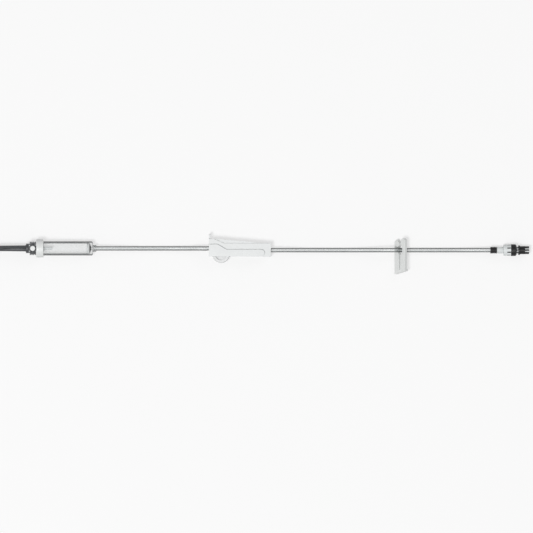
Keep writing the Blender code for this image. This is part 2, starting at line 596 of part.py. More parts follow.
def make_roller_clamp(materials):
    """Housing, axle and wheel. The housing's frame has its entry face at x = 0."""
    frame = empty("roller_clamp_frame", (ROLLER_CLAMP_X, CLAMP_Y, CLAMP_Z))
    far = CLAMP_LENGTH
    outline = [(0, 0), (far, 0), (far, CLAMP_HEIGHT), (RAMP_BACK_END, RAMP_BACK_HEIGHT),
               (RAMP_BACK_START, CLAMP_END_HEIGHT - CLAMP_STEP / 2), (0, CLAMP_END_HEIGHT)]
    housing = place(prism(outline, -CLAMP_WALL_OUT, CLAMP_WALL_OUT), "clamp_housing",
                    materials["housing"], frame)

    slope = [(SHOULDER_LENGTH, CLAMP_END_HEIGHT - CLAMP_STEP / 4), (SHOULDER_END, CLAMP_HEIGHT),
             (RAMP_BACK_END, CLAMP_HEIGHT)]
    over = [(RAMP_BACK_END, TAB_HEIGHT), (SHOULDER_LENGTH, TAB_HEIGHT)]
    steps = []
    for index, side in enumerate((-1, 1)):
        near = side * (CLAMP_WALL_OUT - CLAMP_STEP)
        away = side * (CLAMP_WALL_OUT + CLAMP_STEP)
        steps.append(place(prism(slope + over, min(near, away), max(near, away)),
                           f"housing_step_{index}", None, frame))
    channel_end = far - CLAMP_END_WALL
    channel = [(CLAMP_END_PLATE, -END_BAR_THICK), (channel_end, -END_BAR_THICK),
               (channel_end, ramp_height(channel_end)), (TRACK_START, ramp_height(TRACK_START)),
               (CLAMP_END_PLATE, ramp_height(0))]
    channel = place(prism(channel, -CLAMP_CHANNEL_HALF, CLAMP_CHANNEL_HALF), "housing_channel", None, frame)
    combine(housing, "DIFFERENCE", [*steps, channel])

    radius = PANEL_HEIGHT / 2
    panel = [(0, 0), (PANEL_ROUND_END - radius, 0)]
    panel += arc((PANEL_ROUND_END - radius, radius), radius, -90, 90, 12)[1:]
    panel += [(PANEL_SLOPE_END, PANEL_HEIGHT), (PANEL_SLOPE_START, PANEL_END_HEIGHT), (0, PANEL_END_HEIGHT)]
    panels = []
    for index, side in enumerate((-1, 1)):
        inner = side * (CLAMP_WALL_OUT - CLAMP_STEP / 2)
        outer = side * (CLAMP_WALL_OUT + PANEL_PROUD)
        panels.append(place(prism(panel, min(inner, outer), max(inner, outer)),
                            f"housing_panel_{index}", None, frame))
    tab = [(CLAMP_HEIGHT, -TAB_HALF_WIDTH)]
    tab += arc((TAB_HEIGHT - TAB_CORNER, -TAB_HALF_WIDTH + TAB_CORNER), TAB_CORNER, -90, 0, 5)
    tab += arc((TAB_HEIGHT - TAB_CORNER, TAB_HALF_WIDTH - TAB_CORNER), TAB_CORNER, 0, 90, 5)
    tab += [(CLAMP_HEIGHT, TAB_HALF_WIDTH)]
    tab = place(prism(tab, 0, CLAMP_END_WALL, "X"), "housing_tab", None, frame)
    end_bar = place(block((far - END_BAR_LENGTH, -END_BAR_PROUD, -CLAMP_WALL_OUT + CLAMP_STEP / 2),
                          (far, END_BAR_THICK - END_BAR_PROUD, CLAMP_WALL_OUT - CLAMP_STEP / 2)),
                    "housing_end_bar", None, frame)
    combine(housing, "UNION", [*panels, tab, end_bar])

    track_r = AXLE_OD / 2 + RUNNING_GAP
    track_half = CLAMP_CHANNEL_HALF + TRACK_DEPTH
    track = arc((TRACK_START, TRACK_HEIGHT), track_r, 90, 270, 10)
    track += arc((TRACK_START + ROLLER_TRAVEL, TRACK_HEIGHT), track_r, -90, 90, 10)
    track = place(prism(track, -track_half, track_half), "housing_track", None, frame)
    hole_r = TUBE_R + HOLE_CLEARANCE
    entry = place(rod(-CLAMP_STEP, 2 * CLAMP_END_PLATE, hole_r, HOLE_SIDES, "X",
                      (0, ENTRY_HEIGHT + ENTRY_HOLE_LIFT, 0)), "housing_entry_hole", None, frame)
    leave = place(rod(far - 2 * CLAMP_END_WALL, far + CLAMP_STEP, hole_r, HOLE_SIDES, "X",
                      (0, EXIT_HEIGHT, 0)), "housing_exit_hole", None, frame)
    combine(housing, "DIFFERENCE", [track, entry, leave])

    axle_half = track_half - RUNNING_GAP
    axle = place(rod(-axle_half, axle_half, AXLE_OD / 2, HOLE_SIDES, "Z"), "roller_axle",
                 materials["natural"], frame, (TRACK_START, TRACK_HEIGHT, 0))
    make_wheel(axle, materials)


def make_wheel(axle, materials):
    """The thumb wheel: toothed rim, recessed web and a hub that turns on the axle."""
    half = WHEEL_WIDTH / 2
    wheel = place(prism(fluted(WHEEL_OD / 2, [TOOTH_DEPTH] * WHEEL_TEETH), -half, half),
                  "roller_wheel", materials["roller"], axle)
    rim_r, hub_r = WHEEL_OD / 2 - WHEEL_RIM, WHEEL_HUB_OD / 2
    webs = []
    for index, side in enumerate((-1, 1)):
        floor, mouth = side * (half - WEB_RECESS), side * (half + WEB_RECESS)
        ring = [(floor, hub_r), (floor, rim_r), (mouth, rim_r), (mouth, hub_r)]
        webs.append(place(turned(ring, ROUND_SIDES, "Z"), f"wheel_web_{index}", None, axle))
    bore = place(rod(-WHEEL_WIDTH, WHEEL_WIDTH, AXLE_OD / 2 + RUNNING_GAP, HOLE_SIDES, "Z"),
                 "wheel_bore", None, axle)
    combine(wheel, "DIFFERENCE", [*webs, bore])


def slide_outline():
    """The forked plate seen square on: two prongs, snap-in mouth, hole and pinch slot."""
    prong_top = SLIDE_LENGTH
    right_r = RIGHT_PRONG_CORNER
    left_r = SLIDE_WIDTH - RIGHT_PRONG_U - right_r
    left_centre = (RIGHT_PRONG_U + left_r, prong_top - left_r)
    right_centre = (SLIDE_WIDTH - right_r, prong_top - right_r)
    mouth, low, top = MOUTH_WIDTH / 2, SLOT_LOW_WIDTH / 2, SLOT_TOP_WIDTH / 2
    corner = HOLE_CORNER
    right_hole = (HOLE_RIGHT_U - corner, HOLE_TOP_V - corner)
    left_hole = (HOLE_LEFT_U + corner, HOLE_TOP_V - corner)
    points = [(corner / 2, 0), (SLIDE_WIDTH, SLIDE_END_RISE)]
    points += arc(right_centre, right_r, 0, 90, 5)
    points += arc(left_centre, left_r, 90, 180, 6)
    points += [(MOUTH_U + mouth, MOUTH_V), (MOUTH_U + mouth, HOLE_TOP_V)]
    points += arc(right_hole, corner, 90, 0, 4)
    points += [(HOLE_RIGHT_U, HOLE_LOW_V), (SLOT_U + top, SLOT_TOP_V)]
    points += [(SLOT_U + low, SLOT_LOW_V)]
    points += arc((SLOT_U, SLOT_LOW_V), low, 0, -180, 6)[1:]
    points += [(SLOT_U - top, SLOT_TOP_V), (HOLE_LEFT_U, HOLE_LOW_V)]
    points += arc(left_hole, corner, 180, 90, 4)[:-1]
    points += [(MOUTH_U - mouth, HOLE_TOP_V), (MOUTH_U - mouth, MOUTH_V)]
    points += [LEFT_PEAK, (0, LEFT_SHOULDER_V), (0, corner / 2)]
    return points


def slide_origin():
    """Where the plate's lower front corner lies, so that the tube's axis meets the hole's middle."""
    across = (HOLE_LEFT_U + HOLE_RIGHT_U) / 2
    sine, cosine = math.sin(SLIDE_LEAN), math.cos(SLIDE_LEAN)
    x = SLIDE_CLAMP_X - across * cosine - SLIDE_THICK / 2 * sine
    z = SLIDE_THICK * cosine - SLIDE_EDGE * (sine + cosine - 1)
    return Vector((x, EXIT_Y - TUBE_V, z)), across * sine - SLIDE_THICK / 2 * cosine + z


def make_slide_clamp(materials):
    """The plate, leaning back on its lower edge, with a small foot lip behind its raised edge."""
    origin, _ = slide_origin()
    frame = empty("slide_clamp_frame", origin, (0, -SLIDE_LEAN, 0))
    plate = place(prism(slide_outline(), -SLIDE_THICK, 0), "slide_clamp", materials["white"], frame)
    bevelled(plate, SLIDE_EDGE, math.radians(70))
    inner = SLIDE_WIDTH - SLIDE_FOOT_WIDTH
    base = SLIDE_END_RISE - SLIDE_END_RISE * SLIDE_FOOT_WIDTH / SLIDE_WIDTH + SLIDE_EDGE
    foot = [(inner, base), (SLIDE_WIDTH - SLIDE_EDGE, SLIDE_END_RISE + SLIDE_EDGE),
            (SLIDE_WIDTH - SLIDE_EDGE, SLIDE_END_RISE + SLIDE_FOOT_HEIGHT), (inner, base + SLIDE_FOOT_HEIGHT)]
    foot = place(prism(foot, -SLIDE_THICK - SLIDE_FOOT, -SLIDE_THICK / 2), "slide_foot", None, frame)
    combine(plate, "UNION", [foot])


def make_connector(materials):
    """Sleeve, hub with its cone, locking collar and end cap, about one axis."""
    frame = empty("connector_axis", (CONNECTOR_X, EXIT_Y, CONNECTOR_Z))
    make_sleeve(frame, materials)
    hub_x = SLEEVE_LENGTH + FACE_GAP
    collar_x = SLEEVE_LENGTH + HUB_LENGTH
    collar_end = collar_x + COLLAR_LENGTH
    socket_end = HUB_SOCKET_END
    flange_x = collar_x + COLLAR_BACK_WALL + FACE_GAP
    cone_x = flange_x + HUB_FLANGE_LENGTH
    tip_x = collar_end + CONE_REACH
    base_r = CONE_TIP_OD / 2 + (tip_x - cone_x) * CONE_TAPER / 2
    bore_r = CONE_BORE / 2
    hub = turned([(hub_x, SOCKET_R), (hub_x, HUB_OD / 2), (collar_x - FACE_GAP, HUB_OD / 2),
                  (collar_x - FACE_GAP, HUB_NECK_OD / 2), (flange_x, HUB_NECK_OD / 2),
                  (flange_x, HUB_FLANGE_OD / 2), (cone_x, HUB_FLANGE_OD / 2), (cone_x, base_r),
                  (tip_x, CONE_TIP_OD / 2), (tip_x, bore_r), (socket_end, bore_r), (socket_end, SOCKET_R)])
    place(hub, "connector_hub", materials["natural"], frame)
    make_collar(frame, materials, collar_x, collar_end)

    skirt_x = cone_x + CAP_SKIRT_GAP
    cap_inner_r = base_r + FACE_GAP
    waist_end = collar_end + CAP_WAIST_LENGTH
    grip_x = waist_end + CAP_FLANGE_LENGTH
    finger_x = grip_x + CAP_GRIP_LENGTH
    end_x = finger_x + CAP_FINGER_LENGTH
    grip_r = CAP_GRIP_OD / 2
    bevel = CAP_SKIRT_GAP
    bore_end = tip_x + CAP_BORE_SPARE
    flange_r, core_r = CAP_FLANGE_OD / 2, grip_r - CAP_FINGER_DEPTH
    cap = turned([(bore_end, 0), (bore_end, cap_inner_r), (skirt_x, cap_inner_r),
                  (skirt_x, CAP_SKIRT_OD / 2), (collar_end, CAP_SKIRT_OD / 2),
                  (collar_end, CAP_WAIST_OD / 2), (waist_end, CAP_WAIST_OD / 2),
                  (waist_end, flange_r - bevel), (waist_end + bevel, flange_r),
                  (grip_x - bevel, flange_r), (grip_x, flange_r - bevel), (grip_x, core_r),
                  (end_x - bevel, core_r), (end_x - bevel, 0)])
    cap = place(cap, "end_cap", materials["dark"], frame)
    knurl = place(prism(fluted(grip_r, [KNURL_DEPTH] * GRIP_SLOTS * KNURL_PER_SLOT), grip_x - bevel,
                        finger_x, "X"), "cap_grip", None, frame)
    fingers = place(prism(fluted(grip_r - CAP_STEP, [CAP_FINGER_DEPTH] * GRIP_SLOTS), finger_x - bevel,
                          end_x, "X"), "cap_fingers", None, frame)
    combine(cap, "UNION", [knurl, fingers])


def make_sleeve(frame, materials):
    """The ribbed sleeve on the tube's end."""
    pitch = SLEEVE_LENGTH / (SLEEVE_RIBS - 0.5)
    profile = [(0, SOCKET_R)]
    for k in range(SLEEVE_RIBS):
        start = k * pitch
        profile += [(start, SLEEVE_OD / 2), (start + pitch / 2, SLEEVE_OD / 2)]
        if k < SLEEVE_RIBS - 1:
            groove_r = SLEEVE_OD / 2 - SLEEVE_RIB_DEPTH
            profile += [(start + pitch / 2 + SLEEVE_RIB_SLOPE, groove_r),
                        (start + pitch - SLEEVE_RIB_SLOPE, groove_r)]
    profile.append((SLEEVE_LENGTH, SOCKET_R))
    place(turned(profile), "tube_sleeve", materials["dark"], frame)


def make_collar(frame, materials, start, end):
    """The locking collar: plain band, slotted grip, then a finely knurled end."""
    plain_r, grip_r = COLLAR_OD / 2, COLLAR_GRIP_OD / 2
    band_end = start + COLLAR_BAND
    slot_end = band_end + COLLAR_SLOT_LENGTH
    hole_r = HUB_NECK_OD / 2 + RUNNING_GAP
    back = start + COLLAR_BACK_WALL
    bore_r = COLLAR_BORE / 2
    core_r = plain_r - GRIP_SLOT_DEPTH - KNURL_DEPTH
    core = turned([(start, 0), (start, plain_r - COLLAR_STEP), (start + COLLAR_STEP, plain_r),
                   (band_end, plain_r), (band_end, core_r), (end, core_r), (end, 0)])
    collar = place(core, "lock_collar", materials["natural"], frame)
    slots = place(prism(fluted(plain_r - COLLAR_STEP, [GRIP_SLOT_DEPTH] * GRIP_SLOTS, SLOT_SHARE),
                        band_end - KNURL_DEPTH, slot_end + KNURL_DEPTH / 2, "X"),
                  "collar_slots", None, frame)
    fine = prism(fluted(grip_r, [KNURL_DEPTH] * GRIP_SLOTS * KNURL_PER_SLOT), slot_end, end, "X")
    knurl = place(fine, "collar_knurl", None, frame)
    envelope = turned([(start - FACE_GAP, 0), (start - FACE_GAP, grip_r + KNURL_DEPTH),
                       (end - COLLAR_CHAMFER - KNURL_DEPTH, grip_r + KNURL_DEPTH),
                       (end + FACE_GAP, grip_r - COLLAR_CHAMFER - FACE_GAP), (end + FACE_GAP, 0)])
    envelope = place(envelope, "collar_envelope", None, frame)
    combine(collar, "UNION", [slots, knurl])
    combine(collar, "INTERSECT", [envelope])
    bore = place(rod(back, end + COLLAR_CHAMFER, bore_r, ROUND_SIDES), "collar_bore", None, frame)
    hole = place(rod(start - COLLAR_CHAMFER, back + FACE_GAP, hole_r, ROUND_SIDES), "collar_hole",
                 None, frame)
    combine(collar, "DIFFERENCE", [bore, hole])


def roller_route():
    """The tube's axis in the roller clamp: over the wheel, along the ramp and down to the exit hole."""
    over = WHEEL_OD / 2 + OPEN_GAP / 2
    rise = ENTRY_HEIGHT + ENTRY_BEND - TRACK_HEIGHT
    run = math.sqrt((ENTRY_BEND + over) ** 2 - rise ** 2)
    meet = math.degrees(math.atan2(rise, run))
    fall = math.atan((OPEN_GAP - CLOSED_GAP) / ROLLER_TRAVEL)
    points = arc((TRACK_START - run, ENTRY_HEIGHT + ENTRY_BEND), ENTRY_BEND, -90, -meet, 3)
    points += arc((TRACK_START, TRACK_HEIGHT), over, 180 - meet, 90 - math.degrees(fall), 5)[1:]
    last = points[-1]
    leave = TRACK_START + ROLLER_TRAVEL
    for station in (last[0] + (leave - last[0]) * RAMP_POINT, leave):
        points.append((station, last[1] - (station - last[0]) * math.tan(fall)))
    start, end = Vector(points[-1]), Vector((CLAMP_LENGTH, EXIT_HEIGHT))
    reach = (end.x - start.x) / 2
    first, second = start + Vector((reach, -reach * math.tan(fall))), end - Vector((reach, 0))
    for share in (0.25, 0.5, 0.75, 1.0):
        left = 1 - share
        points.append(tuple(start * left ** 3 + first * 3 * left ** 2 * share
                            + second * 3 * left * share ** 2 + end * share ** 3))
    return [Vector((ROLLER_CLAMP_X + x, CLAMP_Y + y, CLAMP_Z)) for x, y in points]


def slide_route():
    """The tube's axis at the slide clamp: over the plate's low edge, down through it, to the surface."""
    _, middle = slide_origin()
    half = SLIDE_THICK / 2
    along = Vector((math.cos(DIVE_ANGLE), 0, -math.sin(DIVE_ANGLE)))
    centre = Vector((SLIDE_CLAMP_X, EXIT_Y, middle))
    above, below = centre - along * half, centre + along * half
    lift = 1 - math.cos(DIVE_ANGLE)
    landing_bend = (below.z - FLOOR) / lift
    points = []
    for share in (0, 0.25, 0.5, 0.75, 1):
        angle = DIVE_ANGLE * share
        points.append(above + DIVE_BEND * Vector((math.sin(angle) - math.sin(DIVE_ANGLE), 0,
                                                  math.cos(angle) - math.cos(DIVE_ANGLE))))
    for share in (1, 0.75, 0.5, 0.25, 0):
        angle = DIVE_ANGLE * share
        points.append(below + landing_bend * Vector((math.sin(DIVE_ANGLE) - math.sin(angle), 0,
                                                     math.cos(DIVE_ANGLE) - math.cos(angle))))
    return points


def tube_route():
    """The route's own points, from the drip chamber's socket to the connector's."""
    depth = SOCKET_DEPTH - FACE_GAP
    along = Vector((math.cos(CHAMBER_TILT), 0, -math.sin(CHAMBER_TILT)))
    outlet = Vector((OUTLET_X, LINE_Y, OUTLET_Z))
    mouth = Vector((CONNECTOR_X, EXIT_Y, CONNECTOR_Z))
    straight = Vector((TUBE_OD, 0, 0))
    route = [outlet - along * depth, outlet + along * TUBE_R]
    route += [Vector((x, LINE_Y, z)) for x, z in UPPER_ROUTE]
    route += roller_route()
    route.append(route[-1] + straight)
    route += [Vector((x, EXIT_Y, z)) for x, z in MIDDLE_ROUTE]
    route += slide_route()
    route += [Vector((x, EXIT_Y, z)) for x, z in LOWER_ROUTE]
    route += [mouth - straight / 2, mouth + straight / 2]
    route.append(mouth + Vector((HUB_SOCKET_END - FACE_GAP, 0, 0)))
    return route


def smooth_curve(points):
    """Closely spaced points on one smooth curve through all the given points."""
    gaps = [(b - a).length for a, b in zip(points, points[1:])]
    slopes = [(b - a) / gap for a, b, gap in zip(points, points[1:], gaps)]
    tangents = [slopes[0]]
    for before, after, gap_before, gap_after in zip(slopes, slopes[1:], gaps, gaps[1:]):
        tangents.append((before * gap_after + after * gap_before) / (gap_before + gap_after))
    tangents.append(slopes[-1])
    dense = []
    for k, gap in enumerate(gaps):
        handle = gap / 3
        piece = interpolate_bezier(points[k], points[k] + tangents[k] * handle,
                                   points[k + 1] - tangents[k + 1] * handle, points[k + 1], 25)
        dense += piece[:-1]
    return dense + [points[-1]]


def cut_curve(dense, start_x, end_x):
    """The curve between two places along X, with a point at each step, or sooner where it bends."""
    def at(x):
        k = next(k for k in range(1, len(dense)) if dense[k].x >= x or k == len(dense) - 1)
        a, b = dense[k - 1], dense[k]
        return a.lerp(b, (x - a.x) / (b.x - a.x))

    inside = [at(start_x)] + [p for p in dense if start_x < p.x < end_x] + [at(end_x)]
    points, run, left = [inside[0]], 0.0, sum((b - a).length for a, b in zip(inside, inside[1:]))
    heading = inside[1] - inside[0]
    for a, b in zip(inside, inside[1:]):
        run += (b - a).length
        left -= (b - a).length
        near_end = len(points) == 1 and run >= TUBE_END_STEP
        near_end = near_end or left <= TUBE_END_STEP < left + (b - a).length
        far_enough = run >= TUBE_STEP or heading.angle(b - a, 0.0) >= TUBE_TURN and run >= TUBE_END_STEP
        if near_end or far_enough and left > TUBE_END_STEP:
            points.append(b)
            heading, run = b - a, 0.0
    return points + [inside[-1]]


def make_tube(materials):
    """The tube as five stretches end to end, because the two clamps squeeze two of them."""
    dense = smooth_curve(tube_route())
    outlet = OUTLET_X - (SOCKET_DEPTH - FACE_GAP) * math.cos(CHAMBER_TILT)
    entry = roller_route()[0].x - FACE_GAP
    leave = ROLLER_CLAMP_X + CLAMP_LENGTH + TUBE_R
    above, below = SLIDE_CLAMP_X - PINCH_REACH, SLIDE_CLAMP_X + PINCH_REACH
    hub = CONNECTOR_X + HUB_SOCKET_END - FACE_GAP
    stretches = [("tube_upper", outlet, entry),
                 ("tube_in_roller_clamp", entry + FACE_GAP, leave - FACE_GAP),
                 ("tube_middle", leave, above),
                 ("tube_in_slide_clamp", above + FACE_GAP, below - FACE_GAP),
                 ("tube_lower", below, hub)]
    for name, start, end in stretches:
        points = cut_curve(dense, start, end)
        curve = bpy.data.curves.new(name, "CURVE")
        curve.dimensions = "3D"
        curve.bevel_depth = TUBE_R
        curve.bevel_resolution = TUBE_RESOLUTION
        curve.use_fill_caps = True
        spline = curve.splines.new("POLY")
        spline.points.add(len(points) - 1)
        for point, place_at in zip(spline.points, points):
            point.co = (*place_at, 1)
        curve.materials.append(materials["tube"])
        obj = bpy.data.objects.new(name, curve)
        bpy.context.scene.collection.objects.link(obj)


def main():
    clear_scene()
    materials = make_materials()
    chamber = empty("drip_axis", (OUTLET_X, LINE_Y, OUTLET_Z), (0, CHAMBER_TILT, 0))
    make_spike(chamber, materials)
    make_vent(chamber, materials)
    make_chamber(chamber, materials)
    make_roller_clamp(materials)
    make_slide_clamp(materials)
    make_connector(materials)
    make_tube(materials)


main()
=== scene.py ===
"""Looks of a gravity infusion line: vented spike, drip chamber, two clamps and a capped connector.

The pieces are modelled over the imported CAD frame, in metres, with +Z up and the line along X.
Each piece is drawn in its own plain frame and then seated where the CAD has it.
"""

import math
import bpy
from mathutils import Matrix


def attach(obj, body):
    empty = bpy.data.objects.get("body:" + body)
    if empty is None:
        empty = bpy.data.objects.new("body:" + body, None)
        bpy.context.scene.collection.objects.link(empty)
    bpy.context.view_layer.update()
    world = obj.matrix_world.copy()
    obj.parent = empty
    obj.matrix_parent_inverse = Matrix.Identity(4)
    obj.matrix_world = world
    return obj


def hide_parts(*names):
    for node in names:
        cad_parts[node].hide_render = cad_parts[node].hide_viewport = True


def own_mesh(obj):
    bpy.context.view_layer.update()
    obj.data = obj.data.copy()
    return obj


bl_info = {
    "name": "Gravity infusion line",
    "version": (1, 0, 0),
    "blender": (4, 5, 0),
    "location": "3D View > Sidebar > Infusion",
    "description": "Models a vented infusion line with its clamps, connector and studio stage",
    "category": "Add Mesh",
}

import bpy
from mathutils import Matrix, Vector
from mathutils.geometry import interpolate_bezier

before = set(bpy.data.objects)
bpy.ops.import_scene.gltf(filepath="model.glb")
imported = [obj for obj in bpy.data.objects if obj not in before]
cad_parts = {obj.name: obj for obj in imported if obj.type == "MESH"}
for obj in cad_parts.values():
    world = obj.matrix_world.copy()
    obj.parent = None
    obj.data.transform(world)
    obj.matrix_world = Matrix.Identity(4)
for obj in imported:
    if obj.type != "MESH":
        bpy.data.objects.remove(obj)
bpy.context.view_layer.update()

# Places along the line, as in the CAD: the tube lies at CHAMBER_Y up to the roller clamp and at
# LINE_Y after it, and passes through the roller clamp at CLAMP_Z
CHAMBER_Y = 0.00585
LINE_Y = 0.0041
CLAMP_Z = 0.0068
OUTLET = Vector((-0.16435, CHAMBER_Y, 0.00691))
CLAMP_ORIGIN = Vector((-0.05165, -0.00215, CLAMP_Z))
SLIDE_CENTRE = Vector((0.14081, LINE_Y, 0.0067347))
CONNECTOR_ORIGIN = Vector((0.22995, LINE_Y, 0.00585))

# Gaps between touching faces and round a turning part, the break of a sharp edge, and facets
FACE_GAP = 0.0003
RUNNING_GAP = 0.00015
FINE = 0.0001
ROUND_SIDES = 96
SMALL_SIDES = 48
WELD = 0.000001

# Stations on the chamber's axis, from its outlet back to the spike's tip
SHOULDER_X = -0.0035
RIM_X = -0.0528
CAP_X = -0.0600
BODY_X = -0.0678
FLANGE_X = -0.0702
TIP_X = -0.1042
PORT_X = -0.0636

# The lid's hinge bar, across the chamber's axis and above it
HINGE_Y = -0.0042
HINGE_Z = 0.0066
HINGE_RADIUS = 0.0005
KNUCKLE_HALF = 0.0011

# The vent body: its neck's length and how far that lies below its front, the port's bore, and the
# spigot in the cap
WIDE_FROM = 0.0014
NECK_LOW = 0.0006
PORT_BORE = 0.0023
SPIGOT_RADIUS = 0.0021
SPIGOT_LENGTH = 0.0018

# The chamber lies on its cap's rim and its barrel's far end, which are REST_SPAN apart
CAP_OUTSIDE = 0.0182
BARREL_OUTSIDE = 0.0142
REST_SPAN = 0.0489
CHAMBER_TILT = math.atan2((CAP_OUTSIDE - BARREL_OUTSIDE) / 2, REST_SPAN)

# The roller clamp, from its entry face and its open edge: the hub's places when it is open and
# shut, and the room that the wheel leaves before the ramp at each
CLAMP_LENGTH = 0.0620
HUB_OPEN = 0.0122
HUB_SHUT = 0.0447
HUB_HEIGHT = 0.0022
TRAVEL = HUB_SHUT - HUB_OPEN
WHEEL_RADIUS = 0.0088
AXLE_RADIUS = 0.0012
ROOM_OPEN = 0.0049
ROOM_SHUT = 0.0014

# The slide clamp's plate: its width, and how far its bottom edge rises across that
FORK_WIDTH = 0.0142
BOTTOM_RISE = 0.0030

# Stations on the connector's axis, from the sleeve's start, and its tapered cone
COLLAR_X = 0.0129
COLLAR_WALL = 0.0020
COLLAR_END = 0.0260
CONE_X = COLLAR_X + COLLAR_WALL + FACE_GAP + 0.0012
CONE_TIP_X = COLLAR_END + 0.0014
CONE_TIP_RADIUS = 0.00395 / 2
CONE_TAPER = 0.03

# What is cut round the collar's grip and the end cap: fine knurls, and arms, ribs and fingers
KNURLS = 32
ARMS = 8

# Turns a shape drawn about Z to lie along X
ALONG_X = Matrix(((0, 0, 1, 0), (1, 0, 0, 0), (0, 1, 0, 0), (0, 0, 0, 1)))
CHAMBER_FRAME = Matrix.Translation(OUTLET) @ Matrix.Rotation(CHAMBER_TILT, 4, "Y")
CLAMP_FRAME = Matrix.Translation(CLAMP_ORIGIN)
CONNECTOR_FRAME = Matrix.Translation(CONNECTOR_ORIGIN)

# The tube's route, point by point as in the CAD: down from the chamber, across the roller clamp,
# and down, up through the slide clamp and on to the connector
TUBE_ROUTE = [(x, CHAMBER_Y, z) for x, z in (
    (-0.16715, 0.00702), (-0.16220, 0.00682), (-0.15600, 0.00655), (-0.14800, 0.00580),
    (-0.14000, 0.00480), (-0.13200, 0.00370), (-0.12400, 0.00280), (-0.11600, 0.00230),
    (-0.10800, 0.00215), (-0.09800, 0.00215), (-0.09000, 0.00230), (-0.08200, 0.00290),
    (-0.07400, 0.00400), (-0.06700, 0.00525), (-0.06000, 0.00640))]
TUBE_ROUTE += [(x, y, CLAMP_Z) for x, y in (
    (-0.05374, 0.00585), (-0.05128, 0.00615), (-0.04897, 0.00703), (-0.04694, 0.00844),
    (-0.04544, 0.00957), (-0.04377, 0.01044), (-0.04198, 0.01101), (-0.04012, 0.01128),
    (-0.03825, 0.01124), (-0.01790, 0.00904), (-0.00695, 0.00787), (-0.00181, 0.00688),
    (0.00170, 0.00563), (0.00521, 0.00456), (0.01035, 0.00410), (0.01465, 0.00410))]
TUBE_ROUTE += [(x, LINE_Y, z) for x, z in (
    (0.02400, 0.00580), (0.03200, 0.00470), (0.04000, 0.00350), (0.04800, 0.00265), (0.05600, 0.00225),
    (0.06400, 0.00215), (0.07400, 0.00215), (0.08600, 0.00225), (0.09400, 0.00280), (0.10200, 0.00400),
    (0.11000, 0.00580), (0.11800, 0.00780), (0.12500, 0.00945), (0.13188, 0.01012), (0.13386, 0.00997),
    (0.13579, 0.00952), (0.13763, 0.00878), (0.13934, 0.00777), (0.14228, 0.00570), (0.14486, 0.00418),
    (0.14764, 0.00306), (0.15056, 0.00238), (0.15355, 0.00215), (0.16200, 0.00215), (0.17500, 0.00215),
    (0.18800, 0.00215), (0.19600, 0.00235), (0.20400, 0.00300), (0.21200, 0.00410), (0.22000, 0.00520),
    (0.22780, 0.00585), (0.23210, 0.00585), (0.24125, 0.00585))]

# Where the tube's stretches meet: inside the roller clamp's two end walls and in the slide clamp.
# The two stretches that the clamps squeeze are drawn in PINCH_PARTS lengths each
TUBE_BREAK = 0.00002
CLAMP_ENTRY_X = -0.0505
CLAMP_EXIT_X = 0.0095
ROLLER_PINCH = (-0.0144, 0.0016)
SLIDE_PINCH = (0.1350, 0.1466)
PINCH_PARTS = 13


def ramp_height(station):
    """How far the ramp's face lies above the open edge, at a distance from the entry face."""
    narrowing = max(0.0, station - HUB_OPEN) * (ROOM_OPEN - ROOM_SHUT) / TRAVEL
    return HUB_HEIGHT + WHEEL_RADIUS + ROOM_OPEN - narrowing


# The roller at the shut end of its travel, and the ramp's face that it squeezes the tube against.
# The tube keeps a little less than the room there, over a little more than the wheel's reach
RAMP_SLOPE = math.atan((ROOM_OPEN - ROOM_SHUT) / TRAVEL)
ALONG_RAMP = Vector((math.cos(RAMP_SLOPE), -math.sin(RAMP_SLOPE), 0))
TO_RAMP = Vector((math.sin(RAMP_SLOPE), math.cos(RAMP_SLOPE), 0))
SHUT_HUB = CLAMP_ORIGIN + Vector((HUB_SHUT, HUB_HEIGHT, 0))
RAMP_FOOT = CLAMP_ORIGIN + Vector((HUB_SHUT, ramp_height(HUB_SHUT), 0))
ROLLER_SHARE = 0.96
REACH_MARGIN = 0.0007

# The slide clamp's lean, its slot's two walls measured from the tube across the plate, and the
# place between them that the tube is flattened towards. Past SLOT_MARGIN from the plate the tube
# widens again, over FLARE. It runs past the plate at SLOT_SKEW
LEAN = math.radians(45)
ACROSS_PLATE = Vector((math.cos(LEAN), 0, math.sin(LEAN)))
THROUGH_PLATE = Vector((-math.sin(LEAN), 0, math.cos(LEAN)))
SLOT_WALLS = (-0.00166, -0.00014)
SLOT_ANCHOR = -0.00133
SLOT_SHARE = 0.95
SLOT_MARGIN = 0.0004
SLOT_SKEW = math.radians(12)
FLARE = 0.0045

# Camera: straight above, and one picture unit is one millimetre at FOCUS_Z, the line's middle
PHOTO_WIDTH = 0.533
PHOTO_CENTRE = (0.00595, -0.01225)
FOCUS_Z = 0.008
LENS = 400
SENSOR = 36

# The floor lies a little lower than the set, so that no face of the set lies in it
FLOOR_Z = -0.0001

# The floor is seen white, and throws back only part of the light, as a large dark studio does
BOUNCE = 0.55
GLOW = 0.6

# Sizes of patterns: slow flow in a moulding, draw lines in the tube, clouds in the table's paper
MELT_FLOW = 0.009
DRAW_LINE = 0.006
PAPER_CLOUD = 0.05

# Lamps: where they stand, and how wide they are
KEY_PLACE = (-1.0, -1.05, 4.4)
KEY_SIZE = 1.2
SIDE_PLACE = (1.6, 1.2, 1.4)
SIDE_SIZE = 0.8


def linear(code):
    """An sRGB hex colour as linear values."""
    channels = [int(code[k:k + 2], 16) / 255 for k in (1, 3, 5)]
    return tuple(c / 12.92 if c <= 0.04045 else ((c + 0.055) / 1.055) ** 2.4 for c in channels)


def colour_property(name, description, code):
    return bpy.props.FloatVectorProperty(name=name, description=description, subtype="COLOR", size=3,
                                         min=0, max=1, default=linear(code))


def size_property(name, description, default):
    return bpy.props.FloatProperty(name=name, description=description, default=default, min=0,
                                   unit="LENGTH", precision=5)


